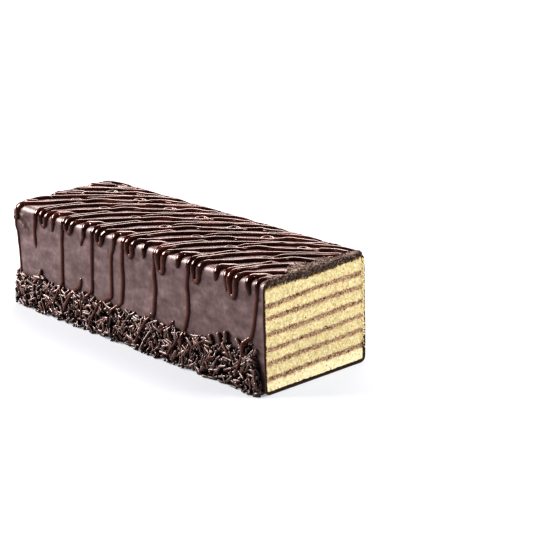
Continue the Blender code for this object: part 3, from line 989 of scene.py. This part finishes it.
# The far end's drips, as the place across the loaf and the height of the tip, and what else is there.
END_DRIPS = ((-30, 40), (-19, 52), (-8, 33), (1, 55), (12, 45), (22, 28), (31, 54))
CORNER_DRIP = ((-101, -27), (-105.5, -32), (-109.5, -37), (-112.0, -43), (-113.2, -53), (-113.5, -80))
HAIRPIN = (
    (7, 4.5), (2, 2.2), (-4, 0.2), (-7.0, -1.5), (-7.4, -3.6), (-4.4, -4.8), (1, -3.4), (6, -0.6), (12, 4.5),
)
HAIRPIN_PLACES = (-1.0, 25.5)
drizzle_noise = Noise(41)


def side_v(z):
    """The unrolled place of a height on a long side."""
    return FLAT_HALF + EDGE_ARC + (LOAF_HEIGHT - TOP_EDGE_RADIUS - z)


def on_coating(u, v):
    """The point on the coating, and the way out there, for an unrolled place."""
    past_end = max(0.0, X_END + END_RADIUS - u)
    past_side = max(0.0, abs(v) - FLAT_HALF)
    x = max(u, X_END + END_RADIUS)
    y = math.copysign(min(abs(v), FLAT_HALF), v)
    past = math.hypot(past_end, past_side)
    if past == 0.0:
        return np.array([x, y, LOAF_HEIGHT]), np.array([0.0, 0.0, 1.0])
    out_x, out_y = -past_end / past, math.copysign(past_side / past, v)
    radius = TOP_EDGE_RADIUS + (END_RADIUS - TOP_EDGE_RADIUS) * past_end / past
    turn = past / radius
    if turn < math.pi / 2:
        out = np.array([out_x * math.sin(turn), out_y * math.sin(turn), math.cos(turn)])
        return np.array([x, y, LOAF_HEIGHT - radius]) + radius * out, out
    z = LOAF_HEIGHT - radius - (past - radius * math.pi / 2)
    bulge = float(swell(z)) * abs(out_y)
    return np.array([x + radius * out_x, y + (radius + bulge) * out_y, z]), np.array([out_x, out_y, 0.0])


def heap_reach(z, height):
    """How far the sprinkle heap stands out at a height."""
    if z >= height:
        return 0.0
    levels, parts = zip(*HEAP_SECTION)
    return BAND_DEPTH * float(np.interp(z / height, levels, parts))


def smooth_course(points, step):
    """A smooth curve through points, sampled about every step."""
    p = np.array(points, float)
    p = np.vstack([2 * p[0] - p[1], p, 2 * p[-1] - p[-2]])
    made = []
    for i in range(1, len(p) - 2):
        a, b, c, d = p[i - 1], p[i], p[i + 1], p[i + 2]
        count = max(2, int(np.linalg.norm(c - b) / step))
        for k in range(count):
            t = k / count
            curve = (2 * a - 5 * b + 4 * c - d) * t * t + (3 * b - a - 3 * c + d) * t**3
            made.append(0.5 * (2 * b + (c - a) * t + curve))
    made.append(p[-2])
    return np.array(made)


def on_front(points, origin=0.0):
    """Places and heights on the front, unrolled."""
    return [(origin + x, -side_v(z)) for x, z in points]


def front_loop(middle, lowest):
    """A loop that hangs over the front edge."""
    drop = LOOP_TOP - lowest
    hanging = (
        (-2.3, LOOP_TOP + 0.2),
        (-2.2, LOOP_TOP - 0.5 * drop),
        (-1.5, lowest + 1.0),
        (0.1, lowest),
        (1.8, lowest + 1.2),
        (2.4, LOOP_TOP - 0.4 * drop),
        (3.0, LOOP_TOP + 0.8),
    )
    begin, end = (middle - 1.6, -FLAT_HALF - 2.6), (middle + 4.4, -FLAT_HALF - 3.0)
    return [begin, *on_front(hanging, middle), end]


def far_side(random):
    """What hangs over the far side: a long drip, a loop and a short drip, each a course, width and kind."""
    tip, lean = random.uniform(24.0, 46.0), random.uniform(-3.0, 3.0)
    long_drip = ((-2, FLAT_HALF + 0.5), (1, FLAT_HALF + 4), (1.5, side_v(58)), (1.5 + lean, side_v(tip)))
    lowest = random.uniform(50.0, 56.0)
    down = ((-18, 33.5), (-14.5, FLAT_HALF + 4), (-13.8, side_v(lowest + 3)), (-11.5, side_v(lowest)))
    back_up = ((-9.0, side_v(lowest + 2)), (-8.4, side_v(60)), (-9.5, FLAT_HALF + 1.5), (-12.5, 30.5))
    tip = random.uniform(52.0, 57.0)
    short_drip = ((-5.5, 32.5), (-3.6, FLAT_HALF + 4), (-3.4, side_v(tip)))
    return (long_drip, 1.0, "drip_end"), (down + back_up, 0.95, "strand"), (short_drip, 0.9, "drip_end")


def strand_courses():
    """Every strand as (course, width, kind). They repeat along the loaf, a little different each time."""
    random = np.random.default_rng(17)
    courses = []

    def add(points, width=1.0, kind="strand"):
        courses.append((points, width, kind))

    def moved(points, origin, jitter=JITTER):
        return [(origin + x + random.normal(0, jitter), v + random.normal(0, jitter)) for x, v in points]

    starts = (*ANCHORS, ANCHORS[-1] + PERIOD, ANCHORS[-1] + 2 * PERIOD)
    for k, (anchor, following, second) in enumerate(zip(starts, starts[1:], starts[2:])):
        if k in LONG_DRIPS:
            drip = on_front(LONG_DRIPS[k][::-1], anchor)
            add(drip + moved(FROM_DRIP, anchor, DRIP_JITTER), 0.85 if k == THIN_DRIP else 1.0, "drip")
        rising = moved(BAND, anchor) + moved(LOW_HOOK, following) + moved(HIGH_HOOK, second)
        falling = moved(TO_BACK, anchor)[::-1]
        past, lowest = LOOPS.get(k, USUAL_LOOP)
        add(falling + front_loop(anchor + past, lowest) + rising, 1.05)
        if k in SHORT_DRIPS:
            drip = on_front(SHORT_DRIPS[k][::-1], anchor)
            x = SHORT_DRIPS[k][0][0]
            blob = [(x, -FLAT_HALF - 3.5)] + [(x + step, v) for step, v in FROM_BLOB]
            add(drip + moved(blob, anchor, DRIP_JITTER), 1.1, "blob")
        for eyelet in EYELETS:
            add(moved(eyelet, anchor, SMALL_JITTER), 0.58)
        add(moved(MIDDLE, anchor) + moved(BACK, following), 0.95)
        x = anchor + 70.5
        if X_END + 8 < x < X_CUT - 9:
            for points, width, kind in far_side(random):
                add([(x + step, v) for step, v in points], width, kind)
    begin = X_END + END_RADIUS
    for y, tip in END_DRIPS:
        reach = END_RADIUS * math.pi / 2 + (LOAF_HEIGHT - END_RADIUS - tip)
        sway = random.uniform(-2.0, 2.0)
        drip = [(begin + 5, y + 4.5), (begin, y + 1), (begin - 6, y), (begin - reach, y + sway)]
        add(drip, 0.95, "drip_end")
    add(CORNER_DRIP, 0.62, "drip_end")
    for tail in TAILS:
        add(on_front(tail), 0.85 if tail is TAILS[0] else 0.60, "tail")
    for y in HAIRPIN_PLACES:
        add([(begin + x, y + v) for x, v in HAIRPIN], 1.0, "hairpin")
    return courses


def cut_limit(v):
    """How near to the cut the strands reach."""
    if v < -FLAT_HALF - 3:
        return X_CUT - 1.2
    y = np.array([max(-FLAT_HALF, min(FLAT_HALF, v))])
    return X_CUT - (float(strip_width(y)[0]) - 0.6)


def visible_runs(course, kind):
    """The stretches of a course on the loaf, and whether each begins and ends where the course does."""
    runs = [[]]
    for u, v in course:
        hangs_over = kind != "drip_end" and X_END + END_RADIUS - u > FAR_REACH
        if X_END - 60.0 < u < cut_limit(v) and not hangs_over:
            runs[-1].append((u, v))
        else:
            runs.append([])
    own_start, own_end = tuple(course[0]), tuple(course[-1])
    return [(run, run[0] == own_start, run[-1] == own_end) for run in runs if len(run) > 5]


def strand_scale(kind, width, along, marks, past, down_side):
    """A strand's size along its course: uneven, thinner down the side, and thick where its kind gathers."""
    left = along[-1] - along
    uneven = drizzle_noise.mixed(marks, (0.13, 7.0, 900.0), (0.06, 2.6, 1300.0))
    scale = width * (1.0 + uneven)
    over_heap = smooth_step(side_v(25.0), side_v(21.0), past)
    scale = scale * (1.05 - 0.20 * down_side) * (1.0 - THINNER_ON_HEAP.get(kind, 0.0) * over_heap)
    if kind == "drip_end":
        scale = scale * (1.0 + 0.35 * hump(left, 2.2, 1.8))
    if kind == "blob":
        narrow = smooth_step(FLAT_HALF + 1.0, FLAT_HALF + 7.0, past)
        scale = scale * (1.1 - 0.24 * narrow) * (0.7 + 0.3 * smooth_step(0.0, 3.0, along))
        scale = scale * (1.0 + 0.45 * hump(left, 10.0, 3.6))
    if kind == "hairpin":
        scale = scale * (1.0 + 0.35 * hump(along, along[-1] / 2, 4.0))
    return scale


def strand_path(flat, kind):
    """A strand's middle line on the coating or over the sprinkles, and the way out along it."""
    places, outs = [], []
    for number, (u, v) in enumerate(flat):
        point, out = on_coating(u, v)
        if abs(v) > FLAT_HALF and point[1] != 0:
            edge = mound_height(point[0], HEAP_MOUNDS if v < 0 else BACK_MOUNDS)
            over = 0.0 if kind == "drip_end" else OVER_HEAP * float(smooth_step(edge + 4.0, edge, point[2]))
            point = point + out * (heap_reach(point[2], edge) + over)
        if kind == "hairpin":
            point = point + out * 0.35 * hump(number / len(flat), 0.5, 0.22)
        places.append(point)
        outs.append(out)
    places, outs = np.array(places), np.array(outs)
    return places + outs * coat_relief(places)[0][:, None], outs


def strand_mesh(run, width, kind, seed, fades):
    """One strand: a low rounded section swept along its course, with rounded or fading ends."""
    flat = np.array(run)
    steps = np.linalg.norm(np.diff(flat, axis=0), axis=1)
    along = np.concatenate([[0.0], np.cumsum(steps)])
    marks = points_at(along + 100.0 * seed, 0.0, 0.0)
    flat = flat + 0.18 * np.stack([drizzle_noise(marks, 8.0), drizzle_noise(marks + 500.0, 8.0)], axis=-1)
    past = np.abs(flat[:, 1])
    down_side = smooth_step(FLAT_HALF + 5.0, FLAT_HALF + 12.0, past)
    scale = strand_scale(kind, width, along, marks, past, down_side)
    half = STRAND_HALF_WIDTH * scale
    height = np.minimum(STRAND_HEIGHT * scale * (1.0 - 0.15 * down_side), HIGHEST_STRAND)
    for reach, fading in ((along, fades[0]), (along[-1] - along, fades[1])):
        end = FADE_LENGTH if fading else STRAND_HALF_WIDTH * ROUND_END
        taper = np.sqrt(np.clip(1.0 - (1.0 - np.clip(reach / end, 0.0, 1.0)) ** 2, 0.02, 1.0))
        sinking = smooth_step(-0.1, 1.0, reach / end) if fading else taper
        half = half * (0.3 + 0.7 * sinking if fading else 1.0) * taper
        height = height * sinking
    places, outs = strand_path(flat, kind)
    ahead = np.gradient(places, axis=0)
    ahead /= np.linalg.norm(ahead, axis=1, keepdims=True)
    across = np.cross(outs, ahead)
    across /= np.linalg.norm(across, axis=1, keepdims=True)
    turns = math.tau * np.arange(STRAND_SIDES) / STRAND_SIDES
    side, lift = np.sin(turns), np.cos(turns)
    lift = np.where(lift > 0, np.abs(lift) ** 0.6, 0.35 * lift)
    points = (places - outs * STRAND_SINK)[:, None] + across[:, None] * (half[:, None] * side)[..., None]
    points = points + outs[:, None] * (height[:, None] * lift)[..., None]
    return points.reshape(-1, 3), tube_faces(len(flat), STRAND_SIDES)


def add_drizzle(surface):
    points, faces, count = [], [], 0
    for number, (course, width, kind) in enumerate(strand_courses()):
        pointed = kind == "drip" and abs(course[0][1]) < side_v(30.0)
        runs = visible_runs(smooth_course(course, STRAND_STEP), kind)
        for part, (run, own_start, own_end) in enumerate(runs):
            begins_thin = own_start and (kind == "strand" or pointed)
            ends_thin = own_end and kind in ("strand", "drip", "blob")
            fades = (begins_thin, ends_thin)
            new_points, new_faces = strand_mesh(run, width, kind, number + 0.37 * part, fades)
            points.append(new_points)
            faces += [[i + count for i in face] for face in new_faces]
            count += len(new_points)
    points = np.concatenate(points)
    # Where strands hang below the top, for their paler painted light and duller gloss.
    hanging = smooth_step(LOAF_HEIGHT - 3.0, LOAF_HEIGHT - 9.0, points[:, 2])
    add_piece("drizzle", points, faces, surface, attributes={"hanging": hanging})


# ----- The sprinkles -----

ROD_SIDES = 8
ROOM = 1.9  # how many radii apart the uppermost sprinkles lie at least, unless they cross
CORE_STEP = 1.6
CORE_LEVELS = 12
CORE_DROP = 1.8  # how far the core's top lies below the band's
EDGE_GAP = 0.28  # how much farther from the cut the sprinkles stay for each millimetre of height
BACK_GAP = 4.6  # and how much farther at the back, where none shows past the cut
ROD_PROFILE = ((-1.0, 0.5), (-0.92, 0.88), (-0.78, 1.0), (0.78, 1.0), (0.92, 0.88), (1.0, 0.5))
SIDE_RUN = LOAF_LENGTH - END_RADIUS
CORNER_RUN = END_RADIUS * math.pi / 2
END_RUN = LOAF_WIDTH - 2 * END_RADIUS
FRONT_STOP = SIDE_RUN + CORNER_RUN / 2
BACK_START = SIDE_RUN + CORNER_RUN + END_RUN + CORNER_RUN / 2
WHOLE_RUN = 2 * SIDE_RUN + 2 * CORNER_RUN + END_RUN
AMOUNTS = {"band_front": 950, "band_end": 310, "band_back": 950}
UPPERMOST = 4  # how many sprinkles are tried on top for each one below
# Sprinkles that stand out of the front's upper edge: place, height, turn in degrees, length and radius.
STANDING = (
    (73.6, 22.8, 105.0, 5.4, 1.15),
    (80.9, 25.4, 102.0, 5.8, 1.20),
    (86.6, 26.8, 88.0, 7.4, 1.30),
    (88.4, 20.8, 130.0, 8.4, 1.10),
    (97.4, 26.2, 140.0, 6.4, 1.10),
    (103.0, 19.6, 165.0, 5.6, 1.00),
    (110.2, 24.0, 60.0, 4.6, 1.00),
    (-87.0, 24.4, 70.0, 6.0, 0.95),
    (-77.2, 18.6, 150.0, 5.6, 0.95),
)


def corner_point(turn, first):
    """The place and the way out, in plan, on the first or second rounded corner of the far end."""
    out = (-math.sin(turn), -math.cos(turn)) if first else (-math.cos(turn), math.sin(turn))
    middle_y = END_RADIUS - HALF_WIDTH if first else HALF_WIDTH - END_RADIUS
    return (X_END + END_RADIUS * (1 + out[0]), middle_y + END_RADIUS * out[1]), out


def round_loaf(distance):
    """The place and the way out, in plan, at a distance round the loaf from the cut at -Y."""
    if distance <= SIDE_RUN:
        return (X_CUT - distance, -HALF_WIDTH), (0.0, -1.0)
    distance -= SIDE_RUN
    if distance <= CORNER_RUN:
        return corner_point(distance / END_RADIUS, True)
    distance -= CORNER_RUN
    if distance <= END_RUN:
        return (X_END, -HALF_WIDTH + END_RADIUS + distance), (-1.0, 0.0)
    distance -= END_RUN
    if distance <= CORNER_RUN:
        return corner_point(distance / END_RADIUS, False)
    return (X_END + END_RADIUS + distance - CORNER_RUN, HALF_WIDTH), (0.0, 1.0)


def band_top(distance):
    """The band's upper edge at a distance round the loaf."""
    (x, y), _ = round_loaf(distance)
    if distance < FRONT_STOP:
        return mound_height(x, HEAP_MOUNDS)
    if distance > BACK_START:
        return mound_height(x, BACK_MOUNDS)
    return mound_height(y, ())


def rod(centre, direction, length, radius, random):
    """One sprinkle: a slightly bent stick with rounded ends."""
    helper = np.array([0.0, 0.0, 1.0]) if abs(direction[2]) < 0.9 else np.array([1.0, 0.0, 0.0])
    side = np.cross(direction, helper)
    side /= np.linalg.norm(side)
    other = np.cross(direction, side)
    turns = math.tau * np.arange(ROD_SIDES) / ROD_SIDES + random.uniform(0, 1)
    bend = random.normal(0.0, 0.05) * length
    rings = []
    for place, size in ROD_PROFILE:
        middle = centre + direction * (place * length / 2) + side * bend * (1 - place * place)
        ring = middle + radius * size * (np.outer(np.cos(turns), side) + np.outer(np.sin(turns), other))
        rings.append(ring)
    return np.concatenate(rings)


def heap_core(begin, end):
    """The heap behind the loose sprinkles, smaller than the band, coloured near black as painted shade between
    them.
    """
    core_noise = Noise(52)
    count = max(8, round((end - begin) / CORE_STEP))
    levels = np.linspace(0.0, 1.0, CORE_LEVELS)
    rings = []
    for i in range(count + 1):
        distance = begin + (end - begin) * i / count
        (x, y), out = round_loaf(distance)
        top = band_top(distance) - CORE_DROP
        ring = []
        for z in levels * top:
            lumps = 0.35 * float(core_noise(np.array([x, y, z]), 2.2))
            away = max(0.25, 0.30 * heap_reach(z, top + 1.2) + 0.1 + lumps) + float(swell(z))
            ring.append((x + out[0] * away, y + out[1] * away, z))
        ring += [(x - out[0] * 0.3, y - out[1] * 0.3, z) for z in levels[::-1] * top]
        rings.append(ring)
    points = np.array(rings)
    return points.reshape(-1, 3), tube_faces(*points.shape[:2])


class Heap:
    """Loose sprinkles laid one by one over the core of a band."""

    def __init__(self, random, points, faces):
        self.random = random
        self.groups = [points]
        # The core gets tone 0, near black: painted shade in the gaps between the sprinkles.
        self.tones_and_shade = [np.zeros(len(points))]
        self.faces = [face[::-1] for face in faces]
        self.count = len(points)
        self.one = tube_faces(len(ROD_PROFILE), ROD_SIDES)
        self.uppermost = np.empty((0, 5, 2))

    def add(self, centre, direction, length, radius, tone):
        self.groups.append(rod(centre, direction, length, radius, self.random))
        self.tones_and_shade.append(np.full(len(self.groups[-1]), tone))
        self.faces += [[i + self.count for i in face] for face in self.one]
        self.count += len(self.groups[-1])

    def has_room(self, distance, z, turn, length, radius):
        """Whether a sprinkle would lie clear of the uppermost ones; if so, it is noted as one of them."""
        marks = np.linspace(-0.5, 0.5, 5)[:, None] * length
        line = np.array([distance, z]) + marks * np.array([math.cos(turn), math.sin(turn)])
        if len(self.uppermost):
            gaps = np.linalg.norm(self.uppermost[:, :, None] - line[None, None], axis=-1)
            if gaps.min() < ROOM * radius:
                return False
        self.uppermost = np.concatenate([self.uppermost, line[None]])
        return True

    def lay(self, distance, upper):
        """One sprinkle at a distance round the loaf; the uppermost lie flat and clear of each other."""
        random = self.random
        top = band_top(distance)
        radius = random.uniform(0.66, 0.92)
        z = max(radius, top * (1.0 - random.uniform(0.0, 1.0) ** 0.9) + random.normal(0.0, 0.4))
        length = random.uniform(4.4, 7.6) if upper else random.uniform(3.4, 6.4)
        tilt = random.normal(0.0, 0.12 if upper else 0.40)
        if z < 2.6 or random.uniform(0.0, 1.0) < 0.30:
            length *= 0.75
            tilt = random.uniform(-1.3, 1.3)
        shown = length * math.cos(tilt)
        room = max(0.0, min(z - radius, top + 0.8 - z))
        steepest = math.asin(min(1.0, room / (0.47 * shown)))
        turn = random.uniform(-1.0, 1.0) * math.pi / 2
        if abs(turn) > steepest:
            turn = random.uniform(-1.0, 1.0) * steepest
        nearest = EDGE_GAP * z + abs(math.cos(turn)) * shown / 2 + 0.3
        distance = min(max(distance, nearest), WHOLE_RUN - nearest - BACK_GAP)
        crossing = random.uniform(0.0, 1.0) < 0.10
        if upper and not self.has_room(distance, z, turn, shown, radius) and not crossing:
            return
        (x, y), out = round_loaf(distance)
        outward = np.array([out[0], out[1], 0.0])
        level = np.array([out[1], -out[0], 0.0])
        slope = (heap_reach(min(z + 1.0, top * 0.99), top) - heap_reach(max(z - 1.0, 0.0), top)) / 2.0
        rising = np.array([0.0, 0.0, 1.0]) + outward * slope
        rising /= np.linalg.norm(rising)
        flat = level * math.cos(turn) + rising * math.sin(turn)
        direction = flat * math.cos(tilt) + outward * math.sin(tilt)
        reach = heap_reach(min(z, top * 0.995), top)
        share = 1.0 if upper else random.uniform(0.30, 0.85)
        away = float(swell(z)) + reach * share - radius * (0.25 if upper else 0.5)
        away += 0.9 * radius if crossing else 0.0
        away = max(away - max(0.0, abs(math.sin(tilt)) * length / 2 - 1.2), radius * 0.8)
        centre = np.array([x, y, z]) + outward * away
        # The tone differs at random, and is painted shade too: darker near the floor and deeper in the heap.
        lit = smooth_step(1.0, 6.0, z)
        tone = random.uniform(0.30, 1.0) * (0.35 + 0.65 * lit) if upper else random.uniform(0.12, 0.50)
        self.add(centre, direction, length, radius, float(tone))


def add_band(name, node, begin, end, surface, seed, standing=()):
    """Loose sprinkles over a core, along one stretch round the loaf."""
    random = np.random.default_rng(seed)
    clear = CUT_MARGIN + 1.0
    heap = Heap(random, *heap_core(max(begin, clear), min(end, WHOLE_RUN - clear)))
    for upper, amount in ((False, AMOUNTS[name]), (True, UPPERMOST * AMOUNTS[name])):
        for _ in range(amount):
            heap.lay(random.uniform(begin, end), upper)
    for x, z, turn, length, radius in standing:
        direction = np.array([math.cos(math.radians(turn)), 0.0, math.sin(math.radians(turn))])
        away = HALF_WIDTH + float(swell(z)) + radius * 0.9 + heap_reach(z, mound_height(x, HEAP_MOUNDS))
        heap.add(np.array([x, -away, z]), direction, length, radius, 0.75)
    points, tones_and_shade = np.concatenate(heap.groups), np.concatenate(heap.tones_and_shade)
    add_piece(name, points, heap.faces, surface, (node,), {"tone": tones_and_shade}, sharp=60)


def add_sprinkles(surface):
    add_band("band_front", "sprinkles_front", 0.0, FRONT_STOP, surface, 61, STANDING)
    add_band("band_end", "sprinkles_end", FRONT_STOP, BACK_START, surface, 62)
    add_band("band_back", "sprinkles_back", BACK_START, WHOLE_RUN, surface, 63)


# ----- Floor, light and camera -----

# Here lengths are in metres. The camera's place, its lens and its sensor, and the size of a noise's features
# stay in millimetres.
CAMERA_AZIMUTH = 48.33
CAMERA_ELEVATION = 17.65
CAMERA_ROLL = -1.50
CAMERA_PLACE = (787.4, -632.0, 358.4)
CAMERA_LENS = 121.5
AIM = Vector((0.0, 0.0, 0.03))
FLOOR_HALF = 6.0
FLOOR_DROP = 0.00005
# The floor's glow is the sum of two. As X + Y, or the distance from the cake, runs from the first number to
# the second, the glow goes from the third to the fourth.
# The glow along X + Y is painted shade on the floor: darker towards the front left, lighter towards the back
# right.
NEAR_GLOW = (-0.15, 0.5, 0.236, 0.390)
FAR_GLOW = (0.6, 1.8, 0.0, 0.55)
# Each light: azimuth, elevation, distance, width, height, power and colour.
LIGHTS = {
    "back_softbox": (222.0, 30.0, 1.6, 1.4, 0.58, 24.2, (1.0, 0.90, 0.86)),
    "key_light": (304.0, 29.0, 1.4, 1.0, 0.42, 58.0, (1.0, 0.98, 0.97)),
    "right_softbox": (142.0, 52.0, 1.4, 0.9, 0.7, 31.0, (1.0, 1.0, 1.0)),
}


def direction(azimuth, elevation):
    """The way from the cake at an azimuth, 0 towards -Y and 90 towards +X, and an elevation."""
    a, e = math.radians(azimuth), math.radians(elevation)
    return Vector((math.sin(a) * math.cos(e), -math.cos(a) * math.cos(e), math.sin(e)))


def add_light(name, azimuth, elevation, distance, width, height, power, colour):
    """A soft rectangular light that looks at the cake."""
    data = bpy.data.lights.new(name, "AREA")
    data.shape = "RECTANGLE"
    data.size = width
    data.size_y = height
    data.energy = power
    data.color = colour
    lamp = bpy.data.objects.new(name, data)
    towards = direction(azimuth, elevation)
    lamp.location = AIM + towards * distance
    lamp.rotation_mode = "QUATERNION"
    lamp.rotation_quaternion = towards.to_track_quat("Z", "Y")
    bpy.context.scene.collection.objects.link(lamp)


def add_floor():
    """A large pale floor that glows a little, to keep its shadows light, and more where no lamp reaches."""
    made = Surface("pale_floor", Roughness=0.9, Specular_IOR_Level=0.0)
    made.shade(Emission_Color=(0.965, 0.975, 1.0, 1.0))
    tint = made.scale(made.noise(400.0), 0.3, 0.7)
    made.cover(made.mix(tint, (0.238, 0.242, 0.252), (0.244, 0.248, 0.258)))
    split = made.add("ShaderNodeSeparateXYZ", {"Vector": made.place}).outputs
    length = made.add("ShaderNodeVectorMath", {0: made.place})
    length.operation = "LENGTH"
    near = made.scale(made.combine("ADD", split["X"], split["Y"]), *NEAR_GLOW)
    far = made.scale(length.outputs["Value"], *FAR_GLOW)
    made.shade(Emission_Strength=made.combine("ADD", near, far))
    mesh = bpy.data.meshes.new("floor")
    corners = [(FLOOR_HALF * x, FLOOR_HALF * y, 0.0) for x, y in ((-1, -1), (1, -1), (1, 1), (-1, 1))]
    mesh.from_pydata(corners, [], [(0, 1, 2, 3)])
    mesh.materials.append(made.material)
    floor = bpy.data.objects.new("floor", mesh)
    floor.location.z = -FLOOR_DROP
    bpy.context.scene.collection.objects.link(floor)


def add_world():
    world = bpy.data.worlds.new("studio")
    world.use_nodes = True
    background = world.node_tree.nodes["Background"]
    background.inputs["Color"].default_value = (0.96, 0.97, 1.0, 1.0)
    background.inputs["Strength"].default_value = 0.11
    bpy.context.scene.world = world


def add_camera():
    back = direction(CAMERA_AZIMUTH, CAMERA_ELEVATION)
    a, roll = math.radians(CAMERA_AZIMUTH), math.radians(CAMERA_ROLL)
    right = Vector((math.cos(a), math.sin(a), 0.0))
    up = back.cross(right)
    turned_right = right * math.cos(roll) + up * math.sin(roll)
    turned_up = up * math.cos(roll) - right * math.sin(roll)
    data = bpy.data.cameras.new("camera")
    data.lens = CAMERA_LENS
    data.sensor_width = 36.0
    data.sensor_fit = "HORIZONTAL"
    data.clip_start, data.clip_end = 0.05, 50.0
    camera = bpy.data.objects.new("camera", data)
    turn = Matrix((turned_right, turned_up, back)).transposed()
    camera.matrix_world = Matrix.Translation(Vector(CAMERA_PLACE) * MM) @ turn.to_4x4()
    bpy.context.scene.collection.objects.link(camera)
    bpy.context.scene.camera = camera


def add_studio():
    add_floor()
    add_world()
    for name, settings in LIGHTS.items():
        add_light(name, *settings)
    view = bpy.context.scene.view_settings
    view.view_transform = "Standard"
    view.look = "High Contrast"
    view.exposure = 0.0
    view.gamma = 1.0


# ----- The cake -----

add_camera()
add_studio()
add_layers()
add_coating(coat_surface())
rubble = rubble_surface()
add_strip(rubble)
crumb = sponge_surface("sponge_crumb", (0.86, 0.76, 0.48), (0.68, 0.55, 0.28))
scatter_crumbs(rubble, crumb, fleck_surface())
add_drizzle(drizzle_surface())
add_sprinkles(sprinkle_surface())
